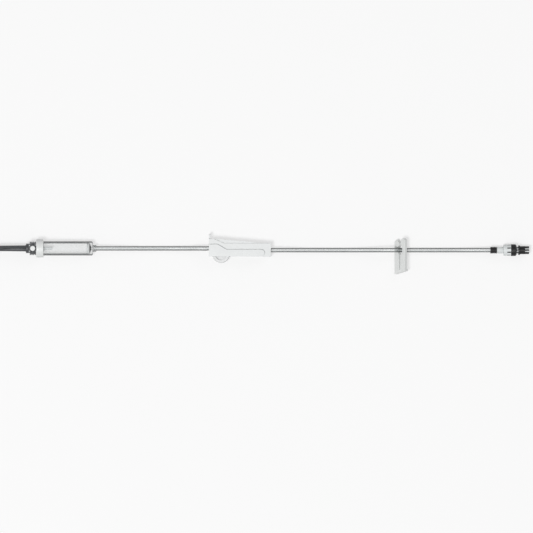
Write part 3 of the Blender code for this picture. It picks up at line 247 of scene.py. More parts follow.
class SpikeSizes(bpy.types.PropertyGroup):
    shaft_outside: size_property("Shaft outside", "Diameter of the shaft at its flange", 0.0062)
    tip_outside: size_property("Tip outside", "Diameter of the shaft at its tip", 0.0054)
    bevel_length: size_property("Bevel length", "Length of the slanted tip", 0.0110)
    lumen: size_property("Lumen", "Diameter of each of the two channels", 0.0015)
    flange_outside: size_property("Flange outside", "Diameter of the stop flange", 0.0095)
    body_width: size_property("Vent body width", "Across the two ribbed ends", 0.0134)
    body_height: size_property("Vent body height", "From front to back", 0.0084)
    lid_outside: size_property("Lid outside", "Diameter of the vent's lid", 0.0064)
    edge: size_property("Edge rounding", "Roundness of the moulded edges", 0.00025)


class ChamberSizes(bpy.types.PropertyGroup):
    barrel_outside: size_property("Barrel outside", "Diameter of the clear barrel", BARREL_OUTSIDE)
    wall: size_property("Barrel wall", "Thickness of the clear wall", 0.0010)
    cap_outside: size_property("Cap outside", "Diameter of the cap", CAP_OUTSIDE)
    cap_edge: size_property("Cap edge", "Roundness of the cap's rims", 0.0006)
    nozzle_outside: size_property("Nozzle outside", "Diameter of the drip nozzle", 0.0032)


class RollerClampSizes(bpy.types.PropertyGroup):
    step: size_property("Wedge step", "How far the wedge behind the ramp lies below the side", 0.0006)
    panel_proud: size_property("Panel", "How far the side panels stand proud", 0.0008)
    panel_line: size_property("Panel line", "Width of the line moulded round each panel", 0.0005)
    edge: size_property("Edge rounding", "Roundness of the housing's edges", 0.0002)
    wheel_outside: size_property("Wheel outside", "Diameter over the wheel's teeth", 2 * WHEEL_RADIUS)
    tooth_depth: size_property("Tooth depth", "Depth of the grooves between the teeth", 0.0006)


class SlideClampSizes(bpy.types.PropertyGroup):
    thickness: size_property("Thickness", "Thickness of the forked plate", 0.0036)
    edge: size_property("Edge rounding", "Roundness of the plate's edges", 0.0003)


class ConnectorSizes(bpy.types.PropertyGroup):
    sleeve_outside: size_property("Sleeve outside", "Diameter of the ribbed sleeve", 0.0069)
    collar_outside: size_property("Collar outside", "Diameter of the collar's plain band", 0.0112)
    grip_outside: size_property("Grip outside", "Diameter of the collar's knurled end", 0.0117)
    cap_flange: size_property("Cap flange", "Diameter of the end cap's flange", 0.0096)
    knurl_depth: size_property("Knurl depth", "Depth of the fine grooves", 0.0004)


class TubeSizes(bpy.types.PropertyGroup):
    outside: size_property("Tube outside", "Outside diameter of the tube", 0.0043)
    bore: size_property("Tube bore", "Inside diameter of the tube", 0.0030)
    step: size_property("Tube step", "Spacing of the rings along the tube", 0.0012)


class LineColours(bpy.types.PropertyGroup):
    white: colour_property("White", "Chamber cap, slide clamp and the lid's disc", "#ECEEED")
    housing: colour_property("Housing", "Roller clamp's housing", "#E9EBEB")
    roller: colour_property("Roller", "Thumb wheel", "#E6E7E7")
    natural: colour_property("Natural", "Hub, collar, cap's liner, axle, nozzle, filter ring", "#E4E8E8")
    grey: colour_property("Grey", "Spike, vent body and vent lid", "#4B4D50")
    charcoal: colour_property("Charcoal", "Sleeve, collar grip and end cap", "#252527")
    clear: colour_property("Clear", "Drip chamber", "#F7FBFB")
    tube: colour_property("Tube", "Soft tube", "#EEF4F4")
    # Rim: painted shade. Clear walls are mixed towards this dark colour where they turn away from the
    # camera.
    rim: colour_property("Rim", "The dark that clear walls show where they turn away", "#15191B")
    filter: colour_property("Filter", "Filter media", "#E8EDED")
    floor: colour_property("Floor", "Table top", "#F6F6F6")


class StageSettings(bpy.types.PropertyGroup):
    key_power: bpy.props.FloatProperty(name="Key lamp", description="Power of the lamp overhead",
                                       default=128.0, min=0, unit="POWER")
    fill_power: bpy.props.FloatProperty(name="Side lamp", description="Power of the low lamp at the side",
                                        default=4.0, min=0, unit="POWER")
    world_strength: bpy.props.FloatProperty(name="Room light", description="Brightness of the pale room",
                                            default=0.36, min=0)
    floor_size: size_property("Floor size", "Width of the floor", 6.0)


def clear_selection():
    if bpy.context.object and bpy.context.object.mode != "OBJECT":
        bpy.ops.object.mode_set(mode="OBJECT")
    bpy.ops.object.select_all(action="DESELECT")


def pick(piece):
    clear_selection()
    piece.select_set(True)
    bpy.context.view_layer.objects.active = piece


def named(name):
    """Name the new active object, with its place in its mesh."""
    piece = bpy.context.active_object
    piece.name = name
    piece.data.name = name
    bpy.ops.object.transform_apply(location=True, rotation=True, scale=True)
    return piece


def select_parts(piece, kind, test):
    """In edit mode, select only the vertices, edges or faces that pass the test."""
    bpy.ops.object.mode_set(mode="EDIT")
    bpy.ops.mesh.select_mode(type=kind)
    bpy.ops.mesh.select_all(action="DESELECT")
    bpy.ops.object.mode_set(mode="OBJECT")
    parts = {"VERT": piece.data.vertices, "EDGE": piece.data.edges, "FACE": piece.data.polygons}[kind]
    for part in parts:
        part.select = bool(test(part))
    bpy.ops.object.mode_set(mode="EDIT")


def close_up(piece, fill):
    """Weld the drawn shape, fill its open ends if it has any, and point its faces outwards."""
    bpy.ops.mesh.select_mode(type="VERT")
    bpy.ops.mesh.select_all(action="SELECT")
    bpy.ops.mesh.remove_doubles(threshold=WELD)
    if fill:
        bpy.ops.mesh.fill_holes(sides=0)
        bpy.ops.mesh.select_all(action="SELECT")
    bpy.ops.mesh.normals_make_consistent(inside=False)
    bpy.ops.object.mode_set(mode="OBJECT")
    return piece


def turned(name, outline, sides=ROUND_SIDES, ring=False):
    """Draw a circle out along Z, ring by ring, through (station, radius) points.

    A ring's outline comes back to its first point; any other shape has its two ends filled.
    """
    clear_selection()
    station, radius = outline[0]
    bpy.ops.mesh.primitive_circle_add(vertices=sides, radius=radius, location=(0, 0, station))
    piece = named(name)
    bpy.ops.object.mode_set(mode="EDIT")
    bpy.ops.mesh.select_all(action="SELECT")
    for next_station, next_radius in outline[1:] + (outline[:1] if ring else []):
        bpy.ops.mesh.extrude_edges_move(
            TRANSFORM_OT_translate={"value": (0, 0, next_station - station)})
        share = next_radius / radius
        bpy.ops.transform.resize(value=(share, share, 1), center_override=(0, 0, next_station))
        station, radius = next_station, next_radius
    return close_up(piece, not ring)


def near_rim(station, radius, size=FINE):
    """The two points of a bevelled rim where a round part begins."""
    return [(station, radius - size), (station + size, radius)]


def far_rim(station, radius, size=FINE):
    """The same where it ends."""
    return [(station - size, radius), (station, radius - size)]


def rod(name, start, end, radius, sides=SMALL_SIDES):
    return turned(name, [(start, radius), (end, radius)], sides)


def plate(name, outline, low, high):
    """Draw a corner on round the outline's (x, y) points, fill it and raise it from low to high."""
    clear_selection()
    x, y = outline[0]
    bpy.ops.mesh.primitive_plane_add(size=FACE_GAP, location=(x, y, low))
    piece = named(name)
    bpy.ops.object.mode_set(mode="EDIT")
    bpy.ops.mesh.select_mode(type="VERT")
    bpy.ops.mesh.select_all(action="SELECT")
    bpy.ops.mesh.merge(type="CENTER")
    for next_x, next_y in outline[1:] + outline[:1]:
        bpy.ops.mesh.extrude_vertices_move(
            TRANSFORM_OT_translate={"value": (next_x - x, next_y - y, 0)})
        x, y = next_x, next_y
    bpy.ops.mesh.select_all(action="SELECT")
    bpy.ops.mesh.remove_doubles(threshold=WELD)
    bpy.ops.mesh.edge_face_add()
    bpy.ops.mesh.extrude_region_move(TRANSFORM_OT_translate={"value": (0, 0, high - low)})
    return close_up(piece, False)


def side_plate(name, outline, side, near, away):
    """A plate on one side of the middle, between two distances from it."""
    return plate(name, outline, *sorted((side * near, side * away)))


def block(name, low, high):
    """A box between two corners."""
    outline = [(low[0], low[1]), (high[0], low[1]), (high[0], high[1]), (low[0], high[1])]
    return plate(name, outline, low[2], high[2])


def fluted(name, radius, grooves, depth, low, high, floor_share=0.3, points=10):
    """A bar with even grooves: the circle's points in each groove are drawn in before it is raised."""
    clear_selection()
    bpy.ops.mesh.primitive_circle_add(vertices=grooves * points, radius=radius, location=(0, 0, low))
    piece = named(name)

    def in_groove(vertex):
        turn = math.atan2(vertex.co.y, vertex.co.x) / (2 * math.pi) * grooves
        return abs(turn - math.floor(turn) - 0.5) < floor_share / 2 + 0.001

    select_parts(piece, "VERT", in_groove)
    share = (radius - depth) / radius
    bpy.ops.transform.resize(value=(share, share, 1), center_override=(0, 0, low))
    bpy.ops.mesh.select_all(action="SELECT")
    bpy.ops.mesh.extrude_edges_move(TRANSFORM_OT_translate={"value": (0, 0, high - low)})
    return close_up(piece, True)


def arc(centre, radius, start, end, steps):
    """Points on a round stretch of an outline; the angles are in degrees."""
    angles = [math.radians(start + (end - start) * k / steps) for k in range(steps + 1)]
    return [(centre[0] + radius * math.cos(a), centre[1] + radius * math.sin(a)) for a in angles]


def repeated(piece, name):
    """A copy of a finished shape, with a mesh of its own."""
    pick(piece)
    bpy.ops.object.duplicate(linked=False)
    return named(name)


def apply_modifier(piece, kind, **settings):
    pick(piece)
    bpy.ops.object.modifier_add(type=kind)
    modifier = piece.modifiers[-1]
    for key, value in settings.items():
        setattr(modifier, key, value)
    bpy.ops.object.modifier_apply(modifier=modifier.name)
    return piece


def combine(piece, operation, shapes):
    """Add or cut each shape, which is used up."""
    for shape in shapes:
        apply_modifier(piece, "BOOLEAN", object=shape, operation=operation, solver="EXACT")
        bpy.data.objects.remove(shape)
    if not piece.data.polygons:
        raise RuntimeError(f"{piece.name} lost its faces when it was combined")
    return piece


def bored(piece, start, end, radius):
    """Cut a round hole along Z."""
    return combine(piece, "DIFFERENCE", [rod("bore", start, end, radius, ROUND_SIDES)])


def soften(piece, width, angle=35, segments=2):
    """Round the edges that are sharper than the angle."""
    return apply_modifier(piece, "BEVEL", width=width, segments=segments, limit_method="ANGLE",
                          angle_limit=math.radians(angle), miter_outer="MITER_ARC")


def lying(x, y, z):
    """The frame for a shape drawn about Z that lies along X, from a place."""
    return Matrix.Translation((x, y, z)) @ ALONG_X


def seat(piece, matrix):
    """Set the piece down in its frame, with the place in its mesh."""
    pick(piece)
    piece.matrix_world = matrix @ piece.matrix_world
    bpy.ops.object.transform_apply(location=True, rotation=True, scale=True)
    return piece


def dress(piece, slot, body, nodes=(), smooth=35):
    """Shade the piece, give it its slot's material and its body, and say which solids it replaces."""
    pick(piece)
    bpy.ops.object.shade_smooth_by_angle(angle=math.radians(smooth))
    apply_modifier(piece, "WEIGHTED_NORMAL", keep_sharp=True)
    piece.data.materials.clear()
    piece.data.materials.append(FINISHES[slot](bpy.context.scene.infusion_colours))
    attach(piece, body)
    if nodes:
        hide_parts(*nodes)
    return piece


def add_node(tree, kind, settings=None, inputs=None):
    """Add a node; each input is a value, or a (node, output name) pair that is linked to it."""
    node = tree.nodes.new(kind)
    for key, value in (settings or {}).items():
        setattr(node, key, value)
    for key, value in (inputs or {}).items():
        if isinstance(value, tuple) and isinstance(value[0], bpy.types.Node):
            tree.links.new(value[0].outputs[value[1]], node.inputs[key])
        else:
            node.inputs[key].default_value = value
    return node


def fresh_material(name, colour, seen=1.0):
    """A new material that has only its coordinates; seen is how solid the viewport shows it."""
    material = bpy.data.materials.new(name)
    material.use_nodes = True
    material.diffuse_color = (*colour, seen)
    tree = material.node_tree
    tree.nodes.clear()
    return material, tree, add_node(tree, "ShaderNodeTexCoord")


def moulded(name, colour, roughness, grain, bump, mottle=0.03, **shader_inputs):
    """A moulded plastic: its grain is the spark-eroded mould's, and its mottle the melt's slow flow.

    grain is the size of the texture's grains in metres. Handling leaves the gloss a little uneven.
    """
    if name in bpy.data.materials:
        return bpy.data.materials[name]
    material, tree, place = fresh_material(name, colour)
    flow = add_node(tree, "ShaderNodeTexNoise", inputs={
        "Vector": (place, "Object"), "Scale": 1 / MELT_FLOW, "Detail": 3.0, "Roughness": 0.55})
    grains = add_node(tree, "ShaderNodeTexNoise", inputs={
        "Vector": (place, "Object"), "Scale": 1 / grain, "Detail": 2.0, "Roughness": 0.6})
    dark = tuple(c * (1 - 2 * mottle) for c in colour)
    tint = add_node(tree, "ShaderNodeMix", {"data_type": "RGBA"}, {
        "Factor": (flow, "Fac"), "A": (*colour, 1), "B": (*dark, 1)})
    gloss = add_node(tree, "ShaderNodeMapRange", inputs={
        "Value": (flow, "Fac"), "From Min": 0.3, "From Max": 0.7,
        "To Min": roughness * 0.85, "To Max": roughness * 1.2})
    relief = add_node(tree, "ShaderNodeBump", inputs={
        "Height": (grains, "Fac"), "Strength": bump, "Distance": grain / 4})
    shader = add_node(tree, "ShaderNodeBsdfPrincipled", inputs={
        "Base Color": (tint, "Result"), "Roughness": (gloss, "Result"), "Normal": (relief, "Normal"),
        **shader_inputs})
    add_node(tree, "ShaderNodeOutputMaterial", inputs={"Surface": (shader, "BSDF")})
    return material


def white_abs(colours):
    """ABS moulded in a lightly textured tool: a clean white with a satin sheen."""
    return moulded("moulded_white_abs", tuple(colours.white), 0.34, 0.00025, 0.25, IOR=1.54)


def grey_abs(colours):
    """ABS in mid grey: satin, so that the shaft shows long soft highlights."""
    return moulded("moulded_grey_abs", tuple(colours.grey), 0.38, 0.00025, 0.3, 0.06, IOR=1.54)


def white_polystyrene(colours):
    """General purpose polystyrene in white: glossier than ABS and harder-looking."""
    return moulded("moulded_white_polystyrene", tuple(colours.housing), 0.27, 0.0004, 0.15, IOR=1.59)


def white_acetal(colours):
    """Acetal: a waxy, slightly translucent white that light sinks into."""
    return moulded("moulded_white_acetal", tuple(colours.roller), 0.42, 0.0003, 0.2, IOR=1.48,
                   **{"Subsurface Weight": 0.15, "Subsurface Scale": 0.001,
                      "Subsurface Radius": (1.0, 1.0, 1.0)})


def natural_polypropylene(colours):
    """Unfilled polypropylene without pigment: milky, and soft at its edges."""
    return moulded("natural_polypropylene", tuple(colours.natural), 0.32, 0.0003, 0.2, IOR=1.49,
                   **{"Subsurface Weight": 0.25, "Subsurface Scale": 0.0015,
                      "Subsurface Radius": (1.0, 1.0, 1.0)})


def charcoal_polypropylene(colours):
    """Polypropylene with carbon black, textured where fingers grip it."""
    return moulded("charcoal_polypropylene", tuple(colours.charcoal), 0.46, 0.0003, 0.4, 0.1, IOR=1.49)


def clear_plastic(name, colour, rim, cover, rim_shade_start, roughness, transmission, ior):
    """Clear vinyl: see-through face on. Where its wall turns away and is looked along, its colour is mixed
    towards a painted dark rim shade, and the wall is made more solid.

    A face that its piece marks as cut_end stays unseen, because the real wall runs on there.
    """
    if name in bpy.data.materials:
        return bpy.data.materials[name]
    material, tree, place = fresh_material(name, colour, 0.4)
    draw_lines = add_node(tree, "ShaderNodeTexNoise", inputs={
        "Vector": (place, "Object"), "Scale": 1 / DRAW_LINE, "Detail": 2.0})
    # Painted shade: the facing blend darkens the colour towards the rim colour and raises cover where the
    # wall turns away from the camera
    wall = add_node(tree, "ShaderNodeLayerWeight", inputs={"Blend": 0.5})
    edge = add_node(tree, "ShaderNodeMapRange", {"interpolation_type": "SMOOTHSTEP"}, {
        "Value": (wall, "Facing"), "From Min": rim_shade_start, "From Max": rim_shade_start + 0.27})
    tint = add_node(tree, "ShaderNodeMix", {"data_type": "RGBA"}, {
        "Factor": (edge, "Result"), "A": (*colour, 1), "B": (*rim, 1)})
    seen = add_node(tree, "ShaderNodeMapRange", inputs={
        "Value": (edge, "Result"), "To Min": cover, "To Max": 0.95})
    cut_end = add_node(tree, "ShaderNodeAttribute", {"attribute_name": "cut_end"})
    shown = add_node(tree, "ShaderNodeMapRange", inputs={
        "Value": (cut_end, "Fac"), "To Min": (seen, "Result"), "To Max": 0.0})
    relief = add_node(tree, "ShaderNodeBump", inputs={
        "Height": (draw_lines, "Fac"), "Strength": 0.03, "Distance": 0.0002})
    shader = add_node(tree, "ShaderNodeBsdfPrincipled", inputs={
        "Base Color": (tint, "Result"), "Alpha": (shown, "Result"), "Normal": (relief, "Normal"),
        "Roughness": roughness, "IOR": ior, "Transmission Weight": transmission})
    add_node(tree, "ShaderNodeOutputMaterial", inputs={"Surface": (shader, "BSDF")})
    return material


def clear_rigid_vinyl(colours):
    """Clear rigid PVC, injection moulded and polished: glassy, with a cool tint and a painted dark rim
    shade where its wall is looked along.
    """
    return clear_plastic("clear_rigid_vinyl", tuple(colours.clear), tuple(colours.rim), 0.10, 0.30,
                         0.07, 0.0, 1.53)


def soft_clear_vinyl(colours):
    """Plasticised clear PVC, extruded: softer gloss than the chamber, with faint draw lines and a painted
    dark rim shade where its wall is looked along.
    """
    return clear_plastic("soft_clear_vinyl", tuple(colours.tube), tuple(colours.rim), 0.16, 0.15,
                         0.16, 0.0, 1.52)


def filter_media(colours):
    """Fine filter media: matt white fibres at 0.3 mm, drawn coarser than real so that they show."""
    name = "filter_media"
    if name in bpy.data.materials:
        return bpy.data.materials[name]
    thread = 0.0003
    colour = tuple(colours.filter)
    shade = tuple(c * 0.72 for c in colour)
    material, tree, place = fresh_material(name, colour)
    warp = add_node(tree, "ShaderNodeTexWave", {"bands_direction": "Y"}, {
        "Vector": (place, "Object"), "Scale": 0.3 / thread, "Distortion": 0.4})
    weft = add_node(tree, "ShaderNodeTexWave", {"bands_direction": "Z"}, {
        "Vector": (place, "Object"), "Scale": 0.3 / thread, "Distortion": 0.4})
    weave = add_node(tree, "ShaderNodeMath", {"operation": "MAXIMUM"}, {
        0: (warp, "Fac"), 1: (weft, "Fac")})
    tint = add_node(tree, "ShaderNodeMix", {"data_type": "RGBA"}, {
        "Factor": (weave, "Value"), "A": (*shade, 1), "B": (*colour, 1)})
    relief = add_node(tree, "ShaderNodeBump", inputs={
        "Height": (weave, "Value"), "Strength": 0.5, "Distance": thread / 3})
    shader = add_node(tree, "ShaderNodeBsdfPrincipled", inputs={
        "Base Color": (tint, "Result"), "Normal": (relief, "Normal"), "Roughness": 0.85})
    add_node(tree, "ShaderNodeOutputMaterial", inputs={"Surface": (shader, "BSDF")})
    return material


# The record's material slots, and the plastic that each one is
FINISHES = {
    "white": white_abs,
    "grey": grey_abs,
    "housing": white_polystyrene,
    "roller": white_acetal,
    "natural": natural_polypropylene,
    "dark": charcoal_polypropylene,
    "chamber": clear_rigid_vinyl,
    "tube": soft_clear_vinyl,
    "filter": filter_media,
}


def smooth_curve(points):
    """Closely spaced points on one smooth curve through all the given points, as in the CAD."""
    gaps = [(b - a).length for a, b in zip(points, points[1:])]
    slopes = [(b - a) / gap for a, b, gap in zip(points, points[1:], gaps)]
    tangents = [slopes[0]]
    for before, after, gap_before, gap_after in zip(slopes, slopes[1:], gaps, gaps[1:]):
        tangents.append((before * gap_after + after * gap_before) / (gap_before + gap_after))
    tangents.append(slopes[-1])
    dense = []
    for k, gap in enumerate(gaps):
        handle = gap / 3
        dense += interpolate_bezier(points[k], points[k] + tangents[k] * handle,
                                    points[k + 1] - tangents[k + 1] * handle, points[k + 1], 60)[:-1]
    return dense + [points[-1]]


def stretch_of(dense, start_x, end_x, step):
    """Evenly spaced points on the curve between two places along X."""
    inside = [p for p in dense if start_x < p.x < end_x]
    before = max((p for p in dense if p.x <= start_x), key=lambda p: p.x, default=inside[0])
    after = min((p for p in dense if p.x >= end_x), key=lambda p: p.x, default=inside[-1])
    if before is not inside[0]:
        inside.insert(0, before.lerp(inside[0], (start_x - before.x) / (inside[0].x - before.x)))
    if after is not inside[-1]:
        inside.append(inside[-1].lerp(after, (end_x - inside[-1].x) / (after.x - inside[-1].x)))
    points, run = [inside[0]], 0.0
    for a, b in zip(inside, inside[1:]):
        run += (b - a).length
        if run >= step:
            points.append(b)
            run = 0.0
    if (inside[-1] - points[-1]).length < step / 2 and len(points) > 1:
        points.pop()
    return points + [inside[-1]]


def drawn_tube(name, points, sizes):
    """A hollow tube along the points: a round section swept, then given its wall inwards.

    Its two cut faces, which join the outer skin to the inner one, are marked as cut_end.
    """
    curve = bpy.data.curves.new(name, "CURVE")
    curve.dimensions = "3D"
    curve.bevel_depth = sizes.outside / 2
    curve.bevel_resolution = 10
    spline = curve.splines.new("POLY")
    spline.points.add(len(points) - 1)
    for point, place_at in zip(spline.points, points):
        point.co = (*place_at, 1)
    piece = bpy.data.objects.new(name, curve)
    bpy.context.scene.collection.objects.link(piece)
    pick(piece)
    bpy.ops.object.convert(target="MESH")
    piece = bpy.context.active_object
    piece.data.name = name
    bpy.ops.object.mode_set(mode="EDIT")
    bpy.ops.mesh.select_all(action="SELECT")
    bpy.ops.mesh.normals_make_consistent(inside=False)
    bpy.ops.object.mode_set(mode="OBJECT")
    outside_skin = len(piece.data.vertices)
    apply_modifier(piece, "SOLIDIFY", thickness=(sizes.outside - sizes.bore) / 2, offset=-1.0,
                   use_rim=True)
    dress(piece, "tube", "line", smooth=50)
    ends = piece.data.attributes.new("cut_end", "FLOAT", "FACE")
    for face, mark in zip(piece.data.polygons, ends.data):
        skins = {index < outside_skin for index in face.vertices}
        mark.value = 1.0 if len(skins) == 2 else 0.0
    return piece


def room_under_roller(point, sizes, clamp):
    """The share of its thickness that the shut roller leaves the tube at a point on its middle."""
    reach = max(abs((point - SHUT_HUB).dot(ALONG_RAMP)) - REACH_MARGIN, 0.0)
    rise = math.sqrt(max((clamp.wheel_outside / 2) ** 2 - reach ** 2, 0.0))
    free = (RAMP_FOOT - SHUT_HUB).dot(TO_RAMP) - rise
    depth = (RAMP_FOOT - point).dot(TO_RAMP) + sizes.outside / 2
    return min(1.0, ROLLER_SHARE * free / depth)


def freedom(point, clamp):
    """How free the tube is of the slide clamp's slot: 0 between its walls, up to 1 beside it."""
    away = abs((point - SLIDE_CENTRE).dot(THROUGH_PLATE))
    share = min(max((away - clamp.thickness / 2 - SLOT_MARGIN) / FLARE, 0.0), 1.0)
    return share ** 2 * (3 - 2 * share)


def room_in_slot(point, sizes, clamp):
    """The share of its thickness that the tube keeps in the slide clamp's slot and beside it."""
    free = freedom(point, clamp)
    across = (1 - free) * (point - SLIDE_CENTRE).dot(ACROSS_PLATE) - SLOT_ANCHOR
    half = sizes.outside / 2 / math.cos(SLOT_SKEW)
    low, high = SLOT_WALLS
    tight = SLOT_SHARE * min((high - SLOT_ANCHOR) / (half + across),
                             (SLOT_ANCHOR - low) / max(half - across, FINE))
    return tight + (1 - tight) * free


def press_against_ramp(points, clamp):
    """The direction and the fixed place that the roller flattens a length of tube towards."""
    return TO_RAMP, RAMP_FOOT


def press_in_slot(points, clamp):
    """The same for the slot: across the plate between its walls, across the tube beside it."""
    middle = points[len(points) // 2]
    free = freedom(middle, clamp)
    run = (points[-1] - points[0]).normalized()
    axis = ACROSS_PLATE.lerp(Vector((-run.z, 0, run.x)), free).normalized()
    offset = (middle - SLIDE_CENTRE).dot(ACROSS_PLATE)
    return axis, middle + axis * (SLOT_ANCHOR - (1 - free) * offset)


def pinched(name, dense, span, room, press, clamp, sizes, node):
    """The stretch that a clamp squeezes, drawn round in short lengths; the room each would keep and the
    way it would be pressed are worked out but not applied.
    """
    start, end = span
    share = (end - start) / PINCH_PARTS
    for k in range(PINCH_PARTS):
        low = start + k * share
        points = stretch_of(dense, low, low + share - TUBE_BREAK, sizes.step / 2)
        keep = min(room(p, sizes, clamp) for p in points)
        piece = drawn_tube(f"{name}_{k + 1}", points, sizes)
        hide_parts(node)
        axis, anchor = press(points, clamp)
        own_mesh(piece)


class INFUSION_OT_tube(bpy.types.Operator):
    """Lay the soft tube in its stretches, from the drip chamber to the connector"""
    bl_idname = "infusion.tube"
    bl_label = "Tube"

    def execute(self, context):
        sizes = context.scene.infusion_tube
        dense = smooth_curve([Vector(p) for p in TUBE_ROUTE])
        # The curve dips a little between two points on the table, and the tube can't
        for point in dense:
            point.z = max(point.z, sizes.outside / 2)
        start_x, end_x = TUBE_ROUTE[0][0], TUBE_ROUTE[-1][0]
        free = [("tube_run_upper", "tube_upper", start_x, CLAMP_ENTRY_X),
                ("tube_run_middle", "tube_middle", CLAMP_EXIT_X + TUBE_BREAK, SLIDE_PINCH[0] - TUBE_BREAK),
                ("tube_run_lower", "tube_lower", SLIDE_PINCH[1], end_x)]
        for name, node, low, high in free:
            points = stretch_of(dense, low, high, sizes.step)
            piece = drawn_tube(name, points, sizes)
            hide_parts(node)
        inside = [("tube_on_ramp", CLAMP_ENTRY_X + TUBE_BREAK, ROLLER_PINCH[0] - TUBE_BREAK),
                  ("tube_after_ramp", ROLLER_PINCH[1], CLAMP_EXIT_X)]
        for name, low, high in inside:
            piece = drawn_tube(name, stretch_of(dense, low, high, sizes.step), sizes)
            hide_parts("tube_in_roller_clamp")
        scene = context.scene
        pinched("tube_under_roller", dense, ROLLER_PINCH, room_under_roller, press_against_ramp,
                scene.infusion_roller_clamp, sizes, "tube_in_roller_clamp")
        pinched("tube_in_slot", dense, SLIDE_PINCH, room_in_slot, press_in_slot,
                scene.infusion_slide_clamp, sizes, "tube_in_slide_clamp")
        return {"FINISHED"}


def ribbed_outline(start, end, half):
    """The vent body seen from the front, with grip ribs cut into its two ends."""
    ribs, depth, gap = 4, 0.0009, 0.0006
    pitch = (end - start + gap) / ribs
    edge = []
    for k in range(ribs):
        left = start + k * pitch
        right = left + pitch - gap
        edge += [(left, half), (right, half)]
        if k < ribs - 1:
            edge += [(right, half - depth), (left + pitch, half - depth)]
    return edge + [(x, -y) for x, y in reversed(edge)]


def hinge_ear(name, side):
    """A plate beside the lid's knuckle, with a round top about the hinge bar."""
    round_top, foot = 0.0010, 0.0021
    outline = [(HINGE_Y - round_top, foot)] + arc((HINGE_Y, HINGE_Z), round_top, 180, 0, 12)
    outline.append((HINGE_Y + round_top, foot))
    inner = PORT_X + side * (KNUCKLE_HALF + FACE_GAP)
    ear = plate(name, outline, *sorted((inner, inner + side * 0.0008)))
    return seat(ear, ALONG_X)


class INFUSION_OT_spike(bpy.types.Operator):
    """Model the spike with its two channels, stop flange, ribbed vent body, port and hinge"""
    bl_idname = "infusion.spike"
    bl_label = "Spike and vent body"

    def execute(self, context):
        sizes = context.scene.infusion_spike
        half, tip, flange = sizes.shaft_outside / 2, sizes.tip_outside / 2, sizes.flange_outside / 2
        edge = sizes.edge
        shaft = turned("spike_moulding", [
            (TIP_X, tip), (FLANGE_X - 3 * edge, half - edge / 4), (FLANGE_X - edge, half + edge / 2),
            (FLANGE_X, half + 2 * edge), *near_rim(FLANGE_X, flange, edge),
            *far_rim(BODY_X, flange, edge), (BODY_X, half), (BODY_X + 0.0039, half)])
        seat(shaft, ALONG_X)
        slope = sizes.tip_outside / sizes.bevel_length
        select_parts(shaft, "FACE", lambda face: True)
        bpy.ops.mesh.bisect(plane_co=(TIP_X, 0, -tip), plane_no=(-slope, 0, 1), use_fill=True,
                            clear_outer=True)
        close_up(shaft, False)

        wide_x, end_x = BODY_X + WIDE_FROM, CAP_X - FACE_GAP
        deep = sizes.body_height / 2
        body = plate("vent_body", ribbed_outline(wide_x, end_x, sizes.body_width / 2), -deep, deep)
        soften(body, edge, 40)
        neck = block("vent_neck", (BODY_X - FACE_GAP, -0.0047, -deep + NECK_LOW),
                     (wide_x + FACE_GAP, 0.0047, deep - NECK_LOW))
        soften(neck, edge)
        spigot = seat(rod("spigot", end_x - 0.002, CAP_X + SPIGOT_LENGTH, SPIGOT_RADIUS), ALONG_X)
        at_port = Matrix.Translation((PORT_X, 0, 0))
        port = soften(rod("vent_port", 0.0021, 0.0060, 0.0030, ROUND_SIDES), edge / 2)
        seat(port, at_port)
        bar = seat(rod("hinge_bar", PORT_X - 0.0018, PORT_X + 0.0018, HINGE_RADIUS),
                   lying(0, HINGE_Y, HINGE_Z))
        combine(shaft, "UNION", [neck, body, spigot, port, hinge_ear("hinge_ear_left", -1),
                                 hinge_ear("hinge_ear_right", 1), bar])

        grooves = []
        half_mouth, above, depth = 0.0006, 0.0003, 0.0009
        for side in (-1, 1):
            vee = [(-half_mouth, side * (half + above)), (0, side * (half - depth)),
                   (half_mouth, side * (half + above))]
            groove = plate(f"shaft_groove_{side}", vee, TIP_X + sizes.bevel_length,
                           FLANGE_X - FACE_GAP)
            grooves.append(seat(groove, ALONG_X))
        lumen, aside = sizes.lumen / 2, 0.00125
        fluid = seat(rod("fluid_lumen", TIP_X - FACE_GAP, CAP_X + 0.0036, lumen), lying(0, -aside, 0))
        air = seat(rod("air_lumen", TIP_X - FACE_GAP, PORT_X + 0.0012, lumen), lying(0, aside, 0))
        riser = seat(rod("air_riser", 0, 0.0037, 0.0006), Matrix.Translation((PORT_X, aside, 0)))
        bore = seat(rod("port_bore", 0.0034, 0.0063, PORT_BORE, ROUND_SIDES), at_port)
        combine(shaft, "DIFFERENCE", [*grooves, fluid, air, riser, bore])
        seat(shaft, CHAMBER_FRAME)
        dress(shaft, "grey", "line", ["spike"])
        return {"FINISHED"}


